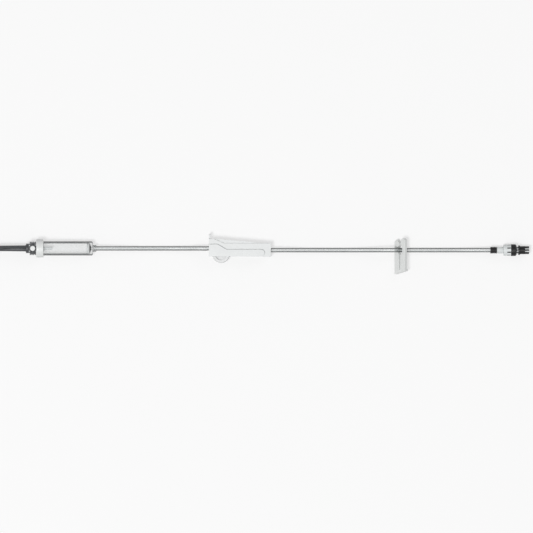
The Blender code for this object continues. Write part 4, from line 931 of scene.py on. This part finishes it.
class INFUSION_OT_vent(bpy.types.Operator):
    """Model the vent's lid with its knuckle and white disc, and the four small air windows"""
    bl_idname = "infusion.vent"
    bl_label = "Vent lid"

    def execute(self, context):
        sizes = context.scene.infusion_spike
        low, top = 0.0063, 0.0077
        outer, dish = sizes.lid_outside / 2, 0.0025
        plug = PORT_BORE - FACE_GAP
        lid = turned("lid_moulding", [
            *near_rim(low - 0.0010, plug, 0.0002), (low, plug), *near_rim(low, outer),
            *far_rim(top, outer, 0.0002), (top, dish + FINE), (top - 0.0004, dish)])
        tab = block("lid_tab", (-0.0013, outer - 0.0004, low + 0.00035),
                    (0.0013, outer + 0.0008, top - 0.00035))
        soften(tab, 0.0002)
        arm = block("lid_arm", (-KNUCKLE_HALF, HINGE_Y, low + 0.0002),
                    (KNUCKLE_HALF, -outer + 0.0004, top - 0.0003))
        at_hinge = lying(0, HINGE_Y, HINGE_Z)
        knuckle = seat(rod("lid_knuckle", -KNUCKLE_HALF, KNUCKLE_HALF, 0.0010), at_hinge)
        combine(lid, "UNION", [tab, arm, knuckle])
        past = 2 * KNUCKLE_HALF
        bore = seat(rod("knuckle_bore", -past, past, HINGE_RADIUS + RUNNING_GAP), at_hinge)
        mouth = block("knuckle_mouth", (-past, HINGE_Y - 0.0020, HINGE_Z - 0.0004),
                      (past, HINGE_Y, HINGE_Z + 0.0004))
        combine(lid, "DIFFERENCE", [bore, mouth])
        over_port = CHAMBER_FRAME @ Matrix.Translation((PORT_X, 0, 0))
        seat(lid, over_port)
        dress(lid, "grey", "lid", ["vent_lid"])

        disc = turned("lid_disc", [
            (top - 0.0004, dish - 0.0001), (top - 0.0001, dish), (top + 0.00005, dish - 0.0002),
            (top + 0.00010, dish - 0.0008)])
        seat(disc, over_port)
        dress(disc, "white", "lid")

        first = block("air_window_1", (-0.0004, -0.0006, 0), (0.0004, 0.0006, 0.0001))
        soften(first, 0.00004)
        windows = [first] + [repeated(first, f"air_window_{k}") for k in (2, 3, 4)]
        corners = [(-0.0030, 0.0029), (-0.0030, -0.0029), (0.0024, 0.0031), (0.0024, -0.0031)]
        for window, (x, y) in zip(windows, corners):
            on_neck = PORT_X + x < BODY_X + WIDE_FROM
            window_z = sizes.body_height / 2 - (NECK_LOW if on_neck else 0)
            seat(window, over_port @ Matrix.Translation((x, y, window_z)))
            dress(window, "filter", "line")
        return {"FINISHED"}


class INFUSION_OT_chamber(bpy.types.Operator):
    """Model the chamber's cap, drip nozzle, clear barrel and filter ring"""
    bl_idname = "infusion.chamber"
    bl_label = "Drip chamber"

    def execute(self, context):
        sizes = context.scene.infusion_chamber
        along = CHAMBER_FRAME @ ALONG_X
        barrel, cap_r = sizes.barrel_outside / 2, sizes.cap_outside / 2
        inside = barrel - sizes.wall
        recess_x, plug_x = CAP_X + 0.0022, RIM_X - 0.0006
        edge, middle, waist = sizes.cap_edge, (CAP_X + RIM_X) / 2, 0.00012
        hole, socket = 0.0024, barrel + FACE_GAP
        # Each rim is rounded over its edge width by two points between flat and side
        near, far = edge * 0.13, edge * 0.5
        cap = turned("chamber_cap_moulding", [
            (CAP_X, hole), (CAP_X, cap_r - edge), (CAP_X + near, cap_r - far),
            (CAP_X + far, cap_r - near), (CAP_X + edge, cap_r),
            (middle - 0.00015, cap_r), (middle - FINE, cap_r - waist),
            (middle + FINE, cap_r - waist), (middle + 0.00015, cap_r),
            (RIM_X - edge, cap_r), (RIM_X - far, cap_r - near), (RIM_X - near, cap_r - far),
            (RIM_X, cap_r - edge), (RIM_X, socket + 0.0002), (RIM_X - 0.0002, socket),
            (recess_x, socket), (recess_x, inside - FACE_GAP), (plug_x, inside - FACE_GAP),
            (plug_x, hole)], ring=True)
        dress(seat(cap, along), "white", "line", ["chamber_cap"])

        tail_x, flange_x = CAP_X + SPIGOT_LENGTH + FACE_GAP, plug_x + FACE_GAP
        outer, bore, tail, flange = sizes.nozzle_outside / 2, 0.00065, 0.0021, 0.0031
        thick, tip_x = 0.0010, flange_x + 0.0090
        tip = outer - FACE_GAP
        nozzle = turned("nozzle_moulding", [
            (tail_x, bore), (tail_x, tail), (flange_x, tail), *near_rim(flange_x, flange),
            *far_rim(flange_x + thick, flange), (flange_x + thick, outer + 0.0002),
            (flange_x + thick + 0.0002, outer), (tip_x - 0.0002, tip + FINE), (tip_x, tip - FINE),
            (tip_x, bore)], SMALL_SIDES, ring=True)
        dress(seat(nozzle, along), "natural", "line", ["drip_nozzle"])

        end_x, funnel, neck, tube_r, throat = SHOULDER_X - 0.0014, 0.0020, 0.00335, 0.00245, 0.0015
        stop_x = -0.0031
        shell = turned("barrel_moulding", [
            (recess_x + FACE_GAP, inside), (recess_x + FACE_GAP, barrel), (SHOULDER_X - 0.0010, barrel),
            (SHOULDER_X - 0.0006, barrel - FINE), (SHOULDER_X - 0.00025, barrel - 0.0003),
            (SHOULDER_X - FINE, barrel - 0.0006), (SHOULDER_X, barrel - 0.0010),
            (SHOULDER_X, neck + 0.00025), (SHOULDER_X + 0.0002, neck), *far_rim(0, neck, 0.0002),
            (0, tube_r), (stop_x, tube_r), (stop_x, throat), (end_x, throat),
            (end_x - funnel, inside)], ring=True)
        dress(seat(shell, along), "chamber", "line", ["drip_chamber"])

        ring_end = end_x - funnel - 0.0009
        ring_x, rebate_x = ring_end - 0.0014, ring_end - 0.0007
        ring_r = inside - FACE_GAP
        hole, rebate = ring_r - 0.0017, ring_r - 0.0008
        ring = turned("filter_ring_moulding", [
            (ring_x, rebate), *near_rim(ring_x, ring_r), *far_rim(ring_end, ring_r),
            (ring_end, hole), (rebate_x, hole), (rebate_x, rebate)], ring=True)
        dress(seat(ring, along), "natural", "line", ["filter_ring"])
        return {"FINISHED"}


def panel_outline(grow):
    """The side panel's outline, or one drawn that much further out: low with a round end, then high."""
    round_end, panel_length, high = 0.0035, 0.0557, 0.0122
    radius, shift = round_end + grow, grow * 0.3
    points = [(0, -grow)]
    points += arc((panel_length - round_end, round_end), radius, -90, 90, 24)
    points += [(0.0178 - shift, 2 * round_end + grow), (0.0088 + shift, high + grow), (0, high + grow)]
    return points


class INFUSION_OT_roller_clamp(bpy.types.Operator):
    """Model the roller clamp's housing with its ramp, side panels, tab, tracks and tube holes"""
    bl_idname = "infusion.roller_clamp"
    bl_label = "Roller clamp housing"

    def execute(self, context):
        sizes = context.scene.infusion_roller_clamp
        far, wall, channel = CLAMP_LENGTH, 0.0060, 0.0046
        step, proud, line = sizes.step, sizes.panel_proud, sizes.panel_line
        back, wedge_end, behind = 0.0130, 0.0546, 0.0222
        outline = [(0, 0), (far, 0), (far, back), (wedge_end, 0.0134), (0.0107, 0.0173), (0, 0.0176)]
        housing = plate("housing_moulding", outline, -wall, wall)
        soften(housing, sizes.edge, 20)

        wedge = [(0.0051, 0.01745), (0.0155, back), (wedge_end, back), (wedge_end, behind),
                 (0.0051, behind)]
        crease = [(0.0053, 0.01735), (0.01555, back), (far + 0.0010, back), (far + 0.0010, 0.0135),
                  (0.01575, 0.0135), (0.0058, 0.0177)]
        cuts = []
        for side in (-1, 1):
            cuts.append(side_plate(f"wedge_step_{side}", wedge, side, wall - step, wall + step))
            cuts.append(side_plate(f"wedge_crease_{side}", crease, side, wall - step - 0.0004,
                                   wall + step))
        start, end, below = 0.0021, far - 0.0016, -0.0021
        inside = [(start, below), (end, below), (end, ramp_height(end)),
                  (HUB_OPEN, ramp_height(HUB_OPEN)), (start, ramp_height(0))]
        cuts.append(plate("clamp_channel", inside, -channel, channel))
        deep, shallow = ramp_height(HUB_OPEN), ramp_height(HUB_SHUT)
        ramp_groove = [(HUB_OPEN, deep - FINE), (HUB_SHUT, shallow - FINE),
                       (HUB_SHUT, shallow + FINE), (HUB_OPEN, deep + 0.0006)]
        cuts.append(plate("ramp_groove", ramp_groove, -0.0009, 0.0009))
        combine(housing, "DIFFERENCE", cuts)

        adds = []
        for side in (-1, 1):
            panel = side_plate(f"side_panel_{side}", panel_outline(0), side, wall - step / 2,
                               wall + proud)
            adds.append(soften(panel, 0.0003, 60))
        tab_foot, tab_top, tab_round = 0.0130, 0.0210, 0.0012
        outline = [(tab_foot, -0.0044)] + arc((tab_top, -0.0032), tab_round, -90, 0, 8)
        outline += arc((tab_top, 0.0032), tab_round, 0, 90, 8) + [(tab_foot, 0.0044)]
        tab = soften(plate("end_tab", outline, 0, 0.0016), 0.0003, 60)
        adds.append(seat(tab, ALONG_X))
        bar = block("end_bar", (far - 0.0077, -0.0002, -wall + step / 2), (far, 0.0019, wall - step / 2))
        adds.append(soften(bar, sizes.edge))
        combine(housing, "UNION", adds)

        lines = []
        for side in (-1, 1):
            groove = side_plate(f"panel_line_{side}", panel_outline(line), side, wall - 0.0008,
                                wall + FINE)
            core = side_plate(f"panel_core_{side}", panel_outline(0), side, wall - 0.0010, wall + 0.0010)
            lines.append(combine(groove, "DIFFERENCE", [core]))
        track_r = AXLE_RADIUS + RUNNING_GAP
        outline = arc((HUB_OPEN, HUB_HEIGHT), track_r, 90, 270, 16)
        outline += arc((HUB_SHUT, HUB_HEIGHT), track_r, -90, 90, 16)
        track = plate("axle_track", outline, -channel - 0.0012, channel + 0.0012)
        hole_r = 0.00285
        entry = seat(rod("entry_hole", -step, 0.0042, hole_r), lying(0, 0.00885, 0))
        leave = seat(rod("exit_hole", far - 0.0032, far + step, hole_r), lying(0, 0.00625, 0))
        combine(housing, "DIFFERENCE", [*lines, track, entry, leave])
        seat(housing, CLAMP_FRAME)
        dress(housing, "housing", "line", ["clamp_housing"])
        return {"FINISHED"}


class INFUSION_OT_roller(bpy.types.Operator):
    """Model the toothed thumb wheel with its recessed webs, and the axle that it turns on"""
    bl_idname = "infusion.roller"
    bl_label = "Roller"

    def execute(self, context):
        sizes = context.scene.infusion_roller_clamp
        hub = CLAMP_FRAME @ Matrix.Translation((HUB_OPEN, HUB_HEIGHT, 0))
        half, radius = 0.0041, sizes.wheel_outside / 2
        wheel = fluted("wheel_moulding", radius, 24, sizes.tooth_depth, -half, half, 0.35, 10)
        # The envelope bevels the rims, and passes clear of the wheel's ends and of its round
        over, shoulder, rim = half + FINE, half - 0.0016, radius + 0.00006
        bevelled = rim - 0.6 * (over - shoulder)
        envelope = turned("wheel_envelope", [(-over, bevelled), (-shoulder, rim), (shoulder, rim),
                                             (over, bevelled)])
        combine(wheel, "INTERSECT", [envelope])
        web_out, web_in = 0.0059, 0.0023
        webs = []
        for side in (-1, 1):
            floor, turn, mouth = [side * (half + depth) for depth in (-0.0012, -0.0010, 0.0012)]
            webs.append(turned(f"wheel_web_{side}", [
                (floor, web_in + FINE), (floor, web_out - 0.0002), (turn, web_out), (mouth, web_out),
                (mouth, web_in), (turn, web_in)], ring=True))
        bore = rod("wheel_bore", -2 * half, 2 * half, AXLE_RADIUS + RUNNING_GAP)
        combine(wheel, "DIFFERENCE", [*webs, bore])
        seat(wheel, hub)
        dress(wheel, "roller", "roller", ["roller_wheel"], 30)

        end, bevel = 0.0058 - RUNNING_GAP, 0.0002
        profile = near_rim(-end, AXLE_RADIUS, bevel) + far_rim(end, AXLE_RADIUS, bevel)
        axle = turned("axle_moulding", profile, SMALL_SIDES)
        seat(axle, hub)
        dress(axle, "natural", "roller_carriage", ["roller_axle"])
        return {"FINISHED"}


def fork_outline():
    """The forked plate seen square on: two prongs, snap-in mouth, hole and pinch slot."""
    corner = 0.0012
    points = [(corner / 2, 0), (FORK_WIDTH, BOTTOM_RISE)]
    points += arc((0.0116, 0.0332), 0.0026, 0, 90, 10)
    points += arc((0.0116, 0.0325), 0.0033, 90, 180, 12)
    points += [(0.0080, 0.0303), (0.0080, 0.0286)]
    points += arc((0.0094, 0.0274), corner, 90, 0, 6)
    points += [(0.0106, 0.0215), (0.0080, 0.0196), (0.0077, 0.0053)]
    points += arc((0.0070, 0.0053), 0.0007, 0, -180, 12)[1:]
    points += [(0.0060, 0.0196), (0.0052, 0.0215)]
    points += arc((0.0064, 0.0274), corner, 180, 90, 6)[:-1]
    points += [(0.0072, 0.0286), (0.0072, 0.0303)]
    points += [(0.0037, 0.0349), (0, 0.0328), (0, corner / 2)]
    return points


class INFUSION_OT_slide_clamp(bpy.types.Operator):
    """Model the forked slide clamp, leaning on its low edge, with the foot lip behind it"""
    bl_idname = "infusion.slide_clamp"
    bl_label = "Slide clamp"

    def execute(self, context):
        sizes = context.scene.infusion_slide_clamp
        thick, edge = sizes.thickness, sizes.edge
        fork = plate("fork_moulding", fork_outline(), -thick, 0)
        soften(fork, edge, 50, 3)
        inner, tall = FORK_WIDTH - 0.0026, 0.0024
        base = BOTTOM_RISE * inner / FORK_WIDTH + edge
        outline = [(inner, base), (FORK_WIDTH - edge, BOTTOM_RISE + edge),
                   (FORK_WIDTH - edge, BOTTOM_RISE + tall), (inner, base + tall)]
        foot = plate("fork_foot", outline, -thick - 0.0016, -thick / 2)
        soften(foot, edge / 2)
        combine(fork, "UNION", [foot])
        middle, hole_y = 0.0079, 0.0241
        origin = Vector((SLIDE_CENTRE.x - middle * math.cos(LEAN) - thick / 2 * math.sin(LEAN),
                         LINE_Y - hole_y,
                         thick * math.cos(LEAN) - edge * (math.sin(LEAN) + math.cos(LEAN) - 1)))
        seat(fork, Matrix.Translation(origin) @ Matrix.Rotation(-LEAN, 4, "Y"))
        dress(fork, "white", "pinch_plate", ["slide_clamp"])
        return {"FINISHED"}


class INFUSION_OT_connector(bpy.types.Operator):
    """Model the ribbed sleeve, the hub with its cone, and the locking collar with its dark grip"""
    bl_idname = "infusion.connector"
    bl_label = "Connector"

    def execute(self, context):
        sizes = context.scene.infusion_connector
        along = CONNECTOR_FRAME @ ALONG_X
        outer, socket = sizes.sleeve_outside / 2, 0.00245
        length, ribs = 0.0063, 6
        pitch = length / (ribs - 0.5)
        profile = [(0, socket)]
        for k in range(ribs):
            at = k * pitch
            half = at + pitch / 2
            profile += near_rim(at, outer) + far_rim(half, outer)
            if k < ribs - 1:
                profile += [(half + FINE, outer - 0.0005), (at + pitch - FINE, outer - 0.0005)]
        profile.append((length, socket))
        sleeve = turned("sleeve_moulding", profile, ring=True)
        dress(seat(sleeve, along), "dark", "line", ["tube_sleeve"])

        hub_x, body_end = length + FACE_GAP, COLLAR_X - FACE_GAP
        flange_x, socket_end = CONE_X - 0.0012, body_end - 0.0010
        body, neck, flange, lumen = 0.00325, 0.00275, 0.0036, 0.0011
        base = CONE_TIP_RADIUS + (CONE_TIP_X - CONE_X) * CONE_TAPER
        hub = turned("hub_moulding", [
            (hub_x, socket), *near_rim(hub_x, body), *far_rim(body_end, body), (body_end, neck),
            (flange_x, neck), (flange_x, flange), (CONE_X, flange), (CONE_X, base),
            (CONE_TIP_X, CONE_TIP_RADIUS), (CONE_TIP_X, lumen), (socket_end, lumen),
            (socket_end, socket)], ring=True)
        dress(seat(hub, along), "natural", "line", ["connector_hub"])

        plain, grip, knurl = sizes.collar_outside / 2, sizes.grip_outside / 2, sizes.knurl_depth
        band_end = COLLAR_X + 0.0038
        slot_end = band_end + 0.0039
        core = plain - 0.0008 - knurl
        hole, back, bore = 0.0029, COLLAR_X + COLLAR_WALL, 0.0042
        collar = turned("collar_moulding", [
            (COLLAR_X, hole), *near_rim(COLLAR_X, plain, 0.0002),
            (slot_end - FINE / 2, plain), (slot_end - FINE / 2, core), (COLLAR_END - FINE, core),
            (COLLAR_END - FINE, bore), (back, bore), (back, hole)], ring=True)
        slots_end = slot_end + 0.0002
        slots = fluted("collar_slots", plain + 0.0010, ARMS, 0.0018, band_end, slots_end, 0.26, 24)
        outside = rod("slot_blank", band_end, slots_end, plain + 0.0020, ROUND_SIDES)
        combine(outside, "DIFFERENCE", [slots])
        combine(collar, "DIFFERENCE", [outside])
        seat(collar, along)
        dress(collar, "natural", "collar", ["lock_collar"], 30)

        knurled = fluted("grip_knurl", grip, KNURLS, knurl, slot_end, COLLAR_END, 0.35, 10)
        # Past the grip by half a fine break, so that its ends are cut at 45 degrees
        past = grip + FINE / 2
        chamfer = turned("grip_envelope", [
            (slot_end - FINE, past - 0.0004), (slot_end + 0.0003, past), (COLLAR_END - 0.0011, past),
            (COLLAR_END + FINE, past - 0.0012)])
        combine(knurled, "INTERSECT", [chamfer])
        # The grip's charcoal arms lie in and fill the collar's slots. They are painted shade: a dark part
        # that stands in for the shade in those slots.
        arms = fluted("grip_arms", plain - 0.00022, ARMS, 0.0010, band_end + FINE, slot_end + FINE,
                      0.60, 24)
        bored(arms, band_end - 0.0005, slot_end + 0.0003, core + 0.00032)
        combine(knurled, "UNION", [arms])
        bored(knurled, slot_end - 0.0002, COLLAR_END + 0.0010, core + 0.00002)
        seat(knurled, along @ Matrix.Rotation(math.pi / ARMS, 4, "Z"))
        dress(knurled, "dark", "collar", [], 30)
        return {"FINISHED"}


class INFUSION_OT_end_cap(bpy.types.Operator):
    """Model the end cap with its skirt, waist, flange, knurled grip, fingers and liner"""
    bl_idname = "infusion.end_cap"
    bl_label = "End cap"

    def execute(self, context):
        sizes = context.scene.infusion_connector
        along = CONNECTOR_FRAME @ ALONG_X
        inner = CONE_TIP_RADIUS + (CONE_TIP_X - CONE_X) * CONE_TAPER + FACE_GAP
        skirt_x, blind_x = CONE_X + 0.0004, CONE_TIP_X + 0.0012
        waist_x, waist_end = COLLAR_END + 0.0002, COLLAR_END + 0.0018
        grip_x = waist_end + 0.0017
        finger_x, end_x = grip_x + 0.0050, grip_x + 0.0091
        skirt, flange, grip, waist = 0.0037, sizes.cap_flange / 2, 0.0040, 0.0033
        core, liner_r, neck = grip - 0.0016, grip - 0.0007, waist - 0.0003
        dished, centre, inside = end_x - 0.0006, 0.0002, core - 0.0008
        cap = turned("cap_moulding", [
            (blind_x, centre), (blind_x, inner), (skirt_x, inner), *near_rim(skirt_x, skirt),
            (COLLAR_END, skirt), (waist_x, neck), (waist_end, neck),
            (waist_end, flange - 0.0004), (waist_end + FINE, flange - FINE),
            (waist_end + 0.0004, flange), (grip_x - 0.0004, flange), (grip_x - FINE, flange - FINE),
            (grip_x, flange - 0.0004), (grip_x, core), (finger_x, core), (finger_x, inside),
            (dished, inside), (dished, centre)])
        fine = fluted("cap_knurl", grip, KNURLS, sizes.knurl_depth, grip_x - 0.0004, finger_x, 0.35, 10)
        fingers = fluted("cap_fingers", grip - FINE, ARMS, 0.0016, finger_x - 0.0004, end_x, 0.46, 24)
        soften(fingers, 0.00015, 60)
        bored(fingers, finger_x, end_x + 0.0010, liner_r + 0.00002)
        ribs = fluted("waist_ribs", waist + FINE, ARMS, 0.0006, COLLAR_END + FINE, waist_end + 0.0002,
                      0.55, 24)
        bored(ribs, COLLAR_END - 0.0010, waist_end + 0.0010, neck - 0.00001)
        combine(cap, "UNION", [fine, fingers, ribs])
        seat(cap, along)
        dress(cap, "dark", "cap", ["end_cap"], 30)

        # The liner and the band stand a hundredth of a millimetre clear of the cap's own faces
        clear = 0.00001
        liner = turned("cap_liner", [
            (finger_x + clear, inside + FINE), (finger_x + clear, liner_r),
            *far_rim(dished + 0.0002, liner_r, 0.0002), (dished + 0.0002, inside + FINE)], ring=True)
        dress(seat(liner, along), "natural", "cap")
        band = turned("waist_band", [
            (waist_x + clear, neck + clear), (waist_x + clear, waist - 0.00004),
            (waist_end - clear, waist - 0.00004), (waist_end - clear, neck + clear)], ring=True)
        dress(seat(band, along), "natural", "cap")
        return {"FINISHED"}


class INFUSION_OT_filters(bpy.types.Operator):
    """Give the two filter discs, which keep their CAD shape, the look of filter media"""
    bl_idname = "infusion.filters"
    bl_label = "Filter discs"

    def execute(self, context):
        for name in ("vent_filter", "filter_mesh"):
            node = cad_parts[name]
            node.data.materials.clear()
            node.data.materials.append(filter_media(context.scene.infusion_colours))
        return {"FINISHED"}


def floor_material(colour):
    """A matt white table top that reads as bright paper to the eye and still takes the shadow."""
    material, tree, place = fresh_material("table_top", colour)
    fibres = add_node(tree, "ShaderNodeTexNoise", inputs={
        "Vector": (place, "Object"), "Scale": 1 / PAPER_CLOUD, "Detail": 3.0})
    tint = add_node(tree, "ShaderNodeMix", {"data_type": "RGBA"}, {
        "Factor": (fibres, "Fac"), "A": (*colour, 1), "B": (*(c * 0.985 for c in colour), 1)})
    ray = add_node(tree, "ShaderNodeLightPath")
    through = add_node(tree, "ShaderNodeMath", {"operation": "MAXIMUM"}, {
        0: (ray, "Is Camera Ray"), 1: (ray, "Is Transmission Ray")})
    seen = add_node(tree, "ShaderNodeMath", {"operation": "MAXIMUM"}, {
        0: (through, "Value"), 1: (ray, "Is Glossy Ray")})
    bounced = add_node(tree, "ShaderNodeMix", {"data_type": "RGBA"}, {
        "Factor": (seen, "Value"), "A": (*(c * BOUNCE for c in colour), 1), "B": (tint, "Result")})
    share = add_node(tree, "ShaderNodeMath", {"operation": "MULTIPLY"}, {0: (seen, "Value"), 1: GLOW})
    matt = add_node(tree, "ShaderNodeBsdfDiffuse", inputs={"Color": (bounced, "Result")})
    glow = add_node(tree, "ShaderNodeEmission", inputs={"Color": (1, 1, 1, 1), "Strength": 1.0})
    mix = add_node(tree, "ShaderNodeMixShader", inputs={
        0: (share, "Value"), 1: (matt, "BSDF"), 2: (glow, "Emission")})
    add_node(tree, "ShaderNodeOutputMaterial", inputs={"Surface": (mix, "Shader")})
    return material


def add_lamp(name, place, size, power):
    """A soft square lamp aimed at the middle of the line."""
    clear_selection()
    bpy.ops.object.light_add(type="AREA", location=place)
    lamp = bpy.context.active_object
    lamp.name = name
    lamp.data.shape = "SQUARE"
    lamp.data.size = size
    lamp.data.energy = power
    lamp.rotation_euler = (-Vector(place)).to_track_quat("-Z", "Y").to_euler()
    return lamp


class INFUSION_OT_stage(bpy.types.Operator):
    """Set up the camera, floor, room light and lamps"""
    bl_idname = "infusion.stage"
    bl_label = "Stage"

    def execute(self, context):
        scene = context.scene
        settings = scene.infusion_stage
        scene.view_settings.view_transform = "Standard"
        clear_selection()
        height = PHOTO_WIDTH * LENS / SENSOR + FOCUS_Z
        bpy.ops.object.camera_add(location=(*PHOTO_CENTRE, height), rotation=(0, 0, 0))
        camera = bpy.context.active_object
        camera.name = "photo_camera"
        camera.data.lens = LENS
        camera.data.sensor_width = SENSOR
        camera.data.clip_end = 50
        scene.camera = camera

        clear_selection()
        bpy.ops.mesh.primitive_plane_add(size=settings.floor_size, location=(0, 0, FLOOR_Z))
        floor = named("floor")
        floor.data.materials.append(floor_material(tuple(scene.infusion_colours.floor)))

        world = bpy.data.worlds.new("pale_room")
        world.use_nodes = True
        world.node_tree.nodes.clear()
        ray = add_node(world.node_tree, "ShaderNodeLightPath")
        room = add_node(world.node_tree, "ShaderNodeBackground", inputs={
            "Color": (1, 1, 1, 1), "Strength": settings.world_strength})
        paper = add_node(world.node_tree, "ShaderNodeBackground", inputs={
            "Color": (1, 1, 1, 1), "Strength": 1.0})
        mix = add_node(world.node_tree, "ShaderNodeMixShader", inputs={
            0: (ray, "Is Camera Ray"), 1: (room, "Background"), 2: (paper, "Background")})
        add_node(world.node_tree, "ShaderNodeOutputWorld", inputs={"Surface": (mix, "Shader")})
        scene.world = world

        add_lamp("key_lamp", KEY_PLACE, KEY_SIZE, settings.key_power)
        add_lamp("side_lamp", SIDE_PLACE, SIDE_SIZE, settings.fill_power)
        return {"FINISHED"}


PIECE_OPERATORS = (INFUSION_OT_stage, INFUSION_OT_tube, INFUSION_OT_spike, INFUSION_OT_vent,
                   INFUSION_OT_chamber, INFUSION_OT_filters, INFUSION_OT_roller_clamp,
                   INFUSION_OT_roller, INFUSION_OT_slide_clamp, INFUSION_OT_connector,
                   INFUSION_OT_end_cap)


class INFUSION_PT_pieces(bpy.types.Panel):
    """Lists the pieces with their sizes, and the colours"""
    bl_idname = "INFUSION_PT_pieces"
    bl_label = "Infusion line"
    bl_space_type = "VIEW_3D"
    bl_region_type = "UI"
    bl_category = "Infusion"

    def draw(self, context):
        for operator in PIECE_OPERATORS:
            self.layout.operator(operator.bl_idname)
        for name in SETTINGS:
            box = self.layout.box()
            group = getattr(context.scene, name)
            for key in group.bl_rna.properties.keys():
                if key not in ("rna_type", "name"):
                    box.prop(group, key)


SETTINGS = {
    "infusion_spike": SpikeSizes,
    "infusion_chamber": ChamberSizes,
    "infusion_roller_clamp": RollerClampSizes,
    "infusion_slide_clamp": SlideClampSizes,
    "infusion_connector": ConnectorSizes,
    "infusion_tube": TubeSizes,
    "infusion_colours": LineColours,
    "infusion_stage": StageSettings,
}


def register():
    for name, group in SETTINGS.items():
        bpy.utils.register_class(group)
        setattr(bpy.types.Scene, name, bpy.props.PointerProperty(type=group))
    for operator in PIECE_OPERATORS:
        bpy.utils.register_class(operator)
    bpy.utils.register_class(INFUSION_PT_pieces)


def unregister():
    bpy.utils.unregister_class(INFUSION_PT_pieces)
    for operator in reversed(PIECE_OPERATORS):
        bpy.utils.unregister_class(operator)
    for name, group in reversed(SETTINGS.items()):
        delattr(bpy.types.Scene, name)
        bpy.utils.unregister_class(group)


def main():
    """Model the whole line."""
    register()
    for operator in PIECE_OPERATORS:
        group, name = operator.bl_idname.split(".")
        getattr(getattr(bpy.ops, group), name)()


if __name__ == "__main__":
    main()
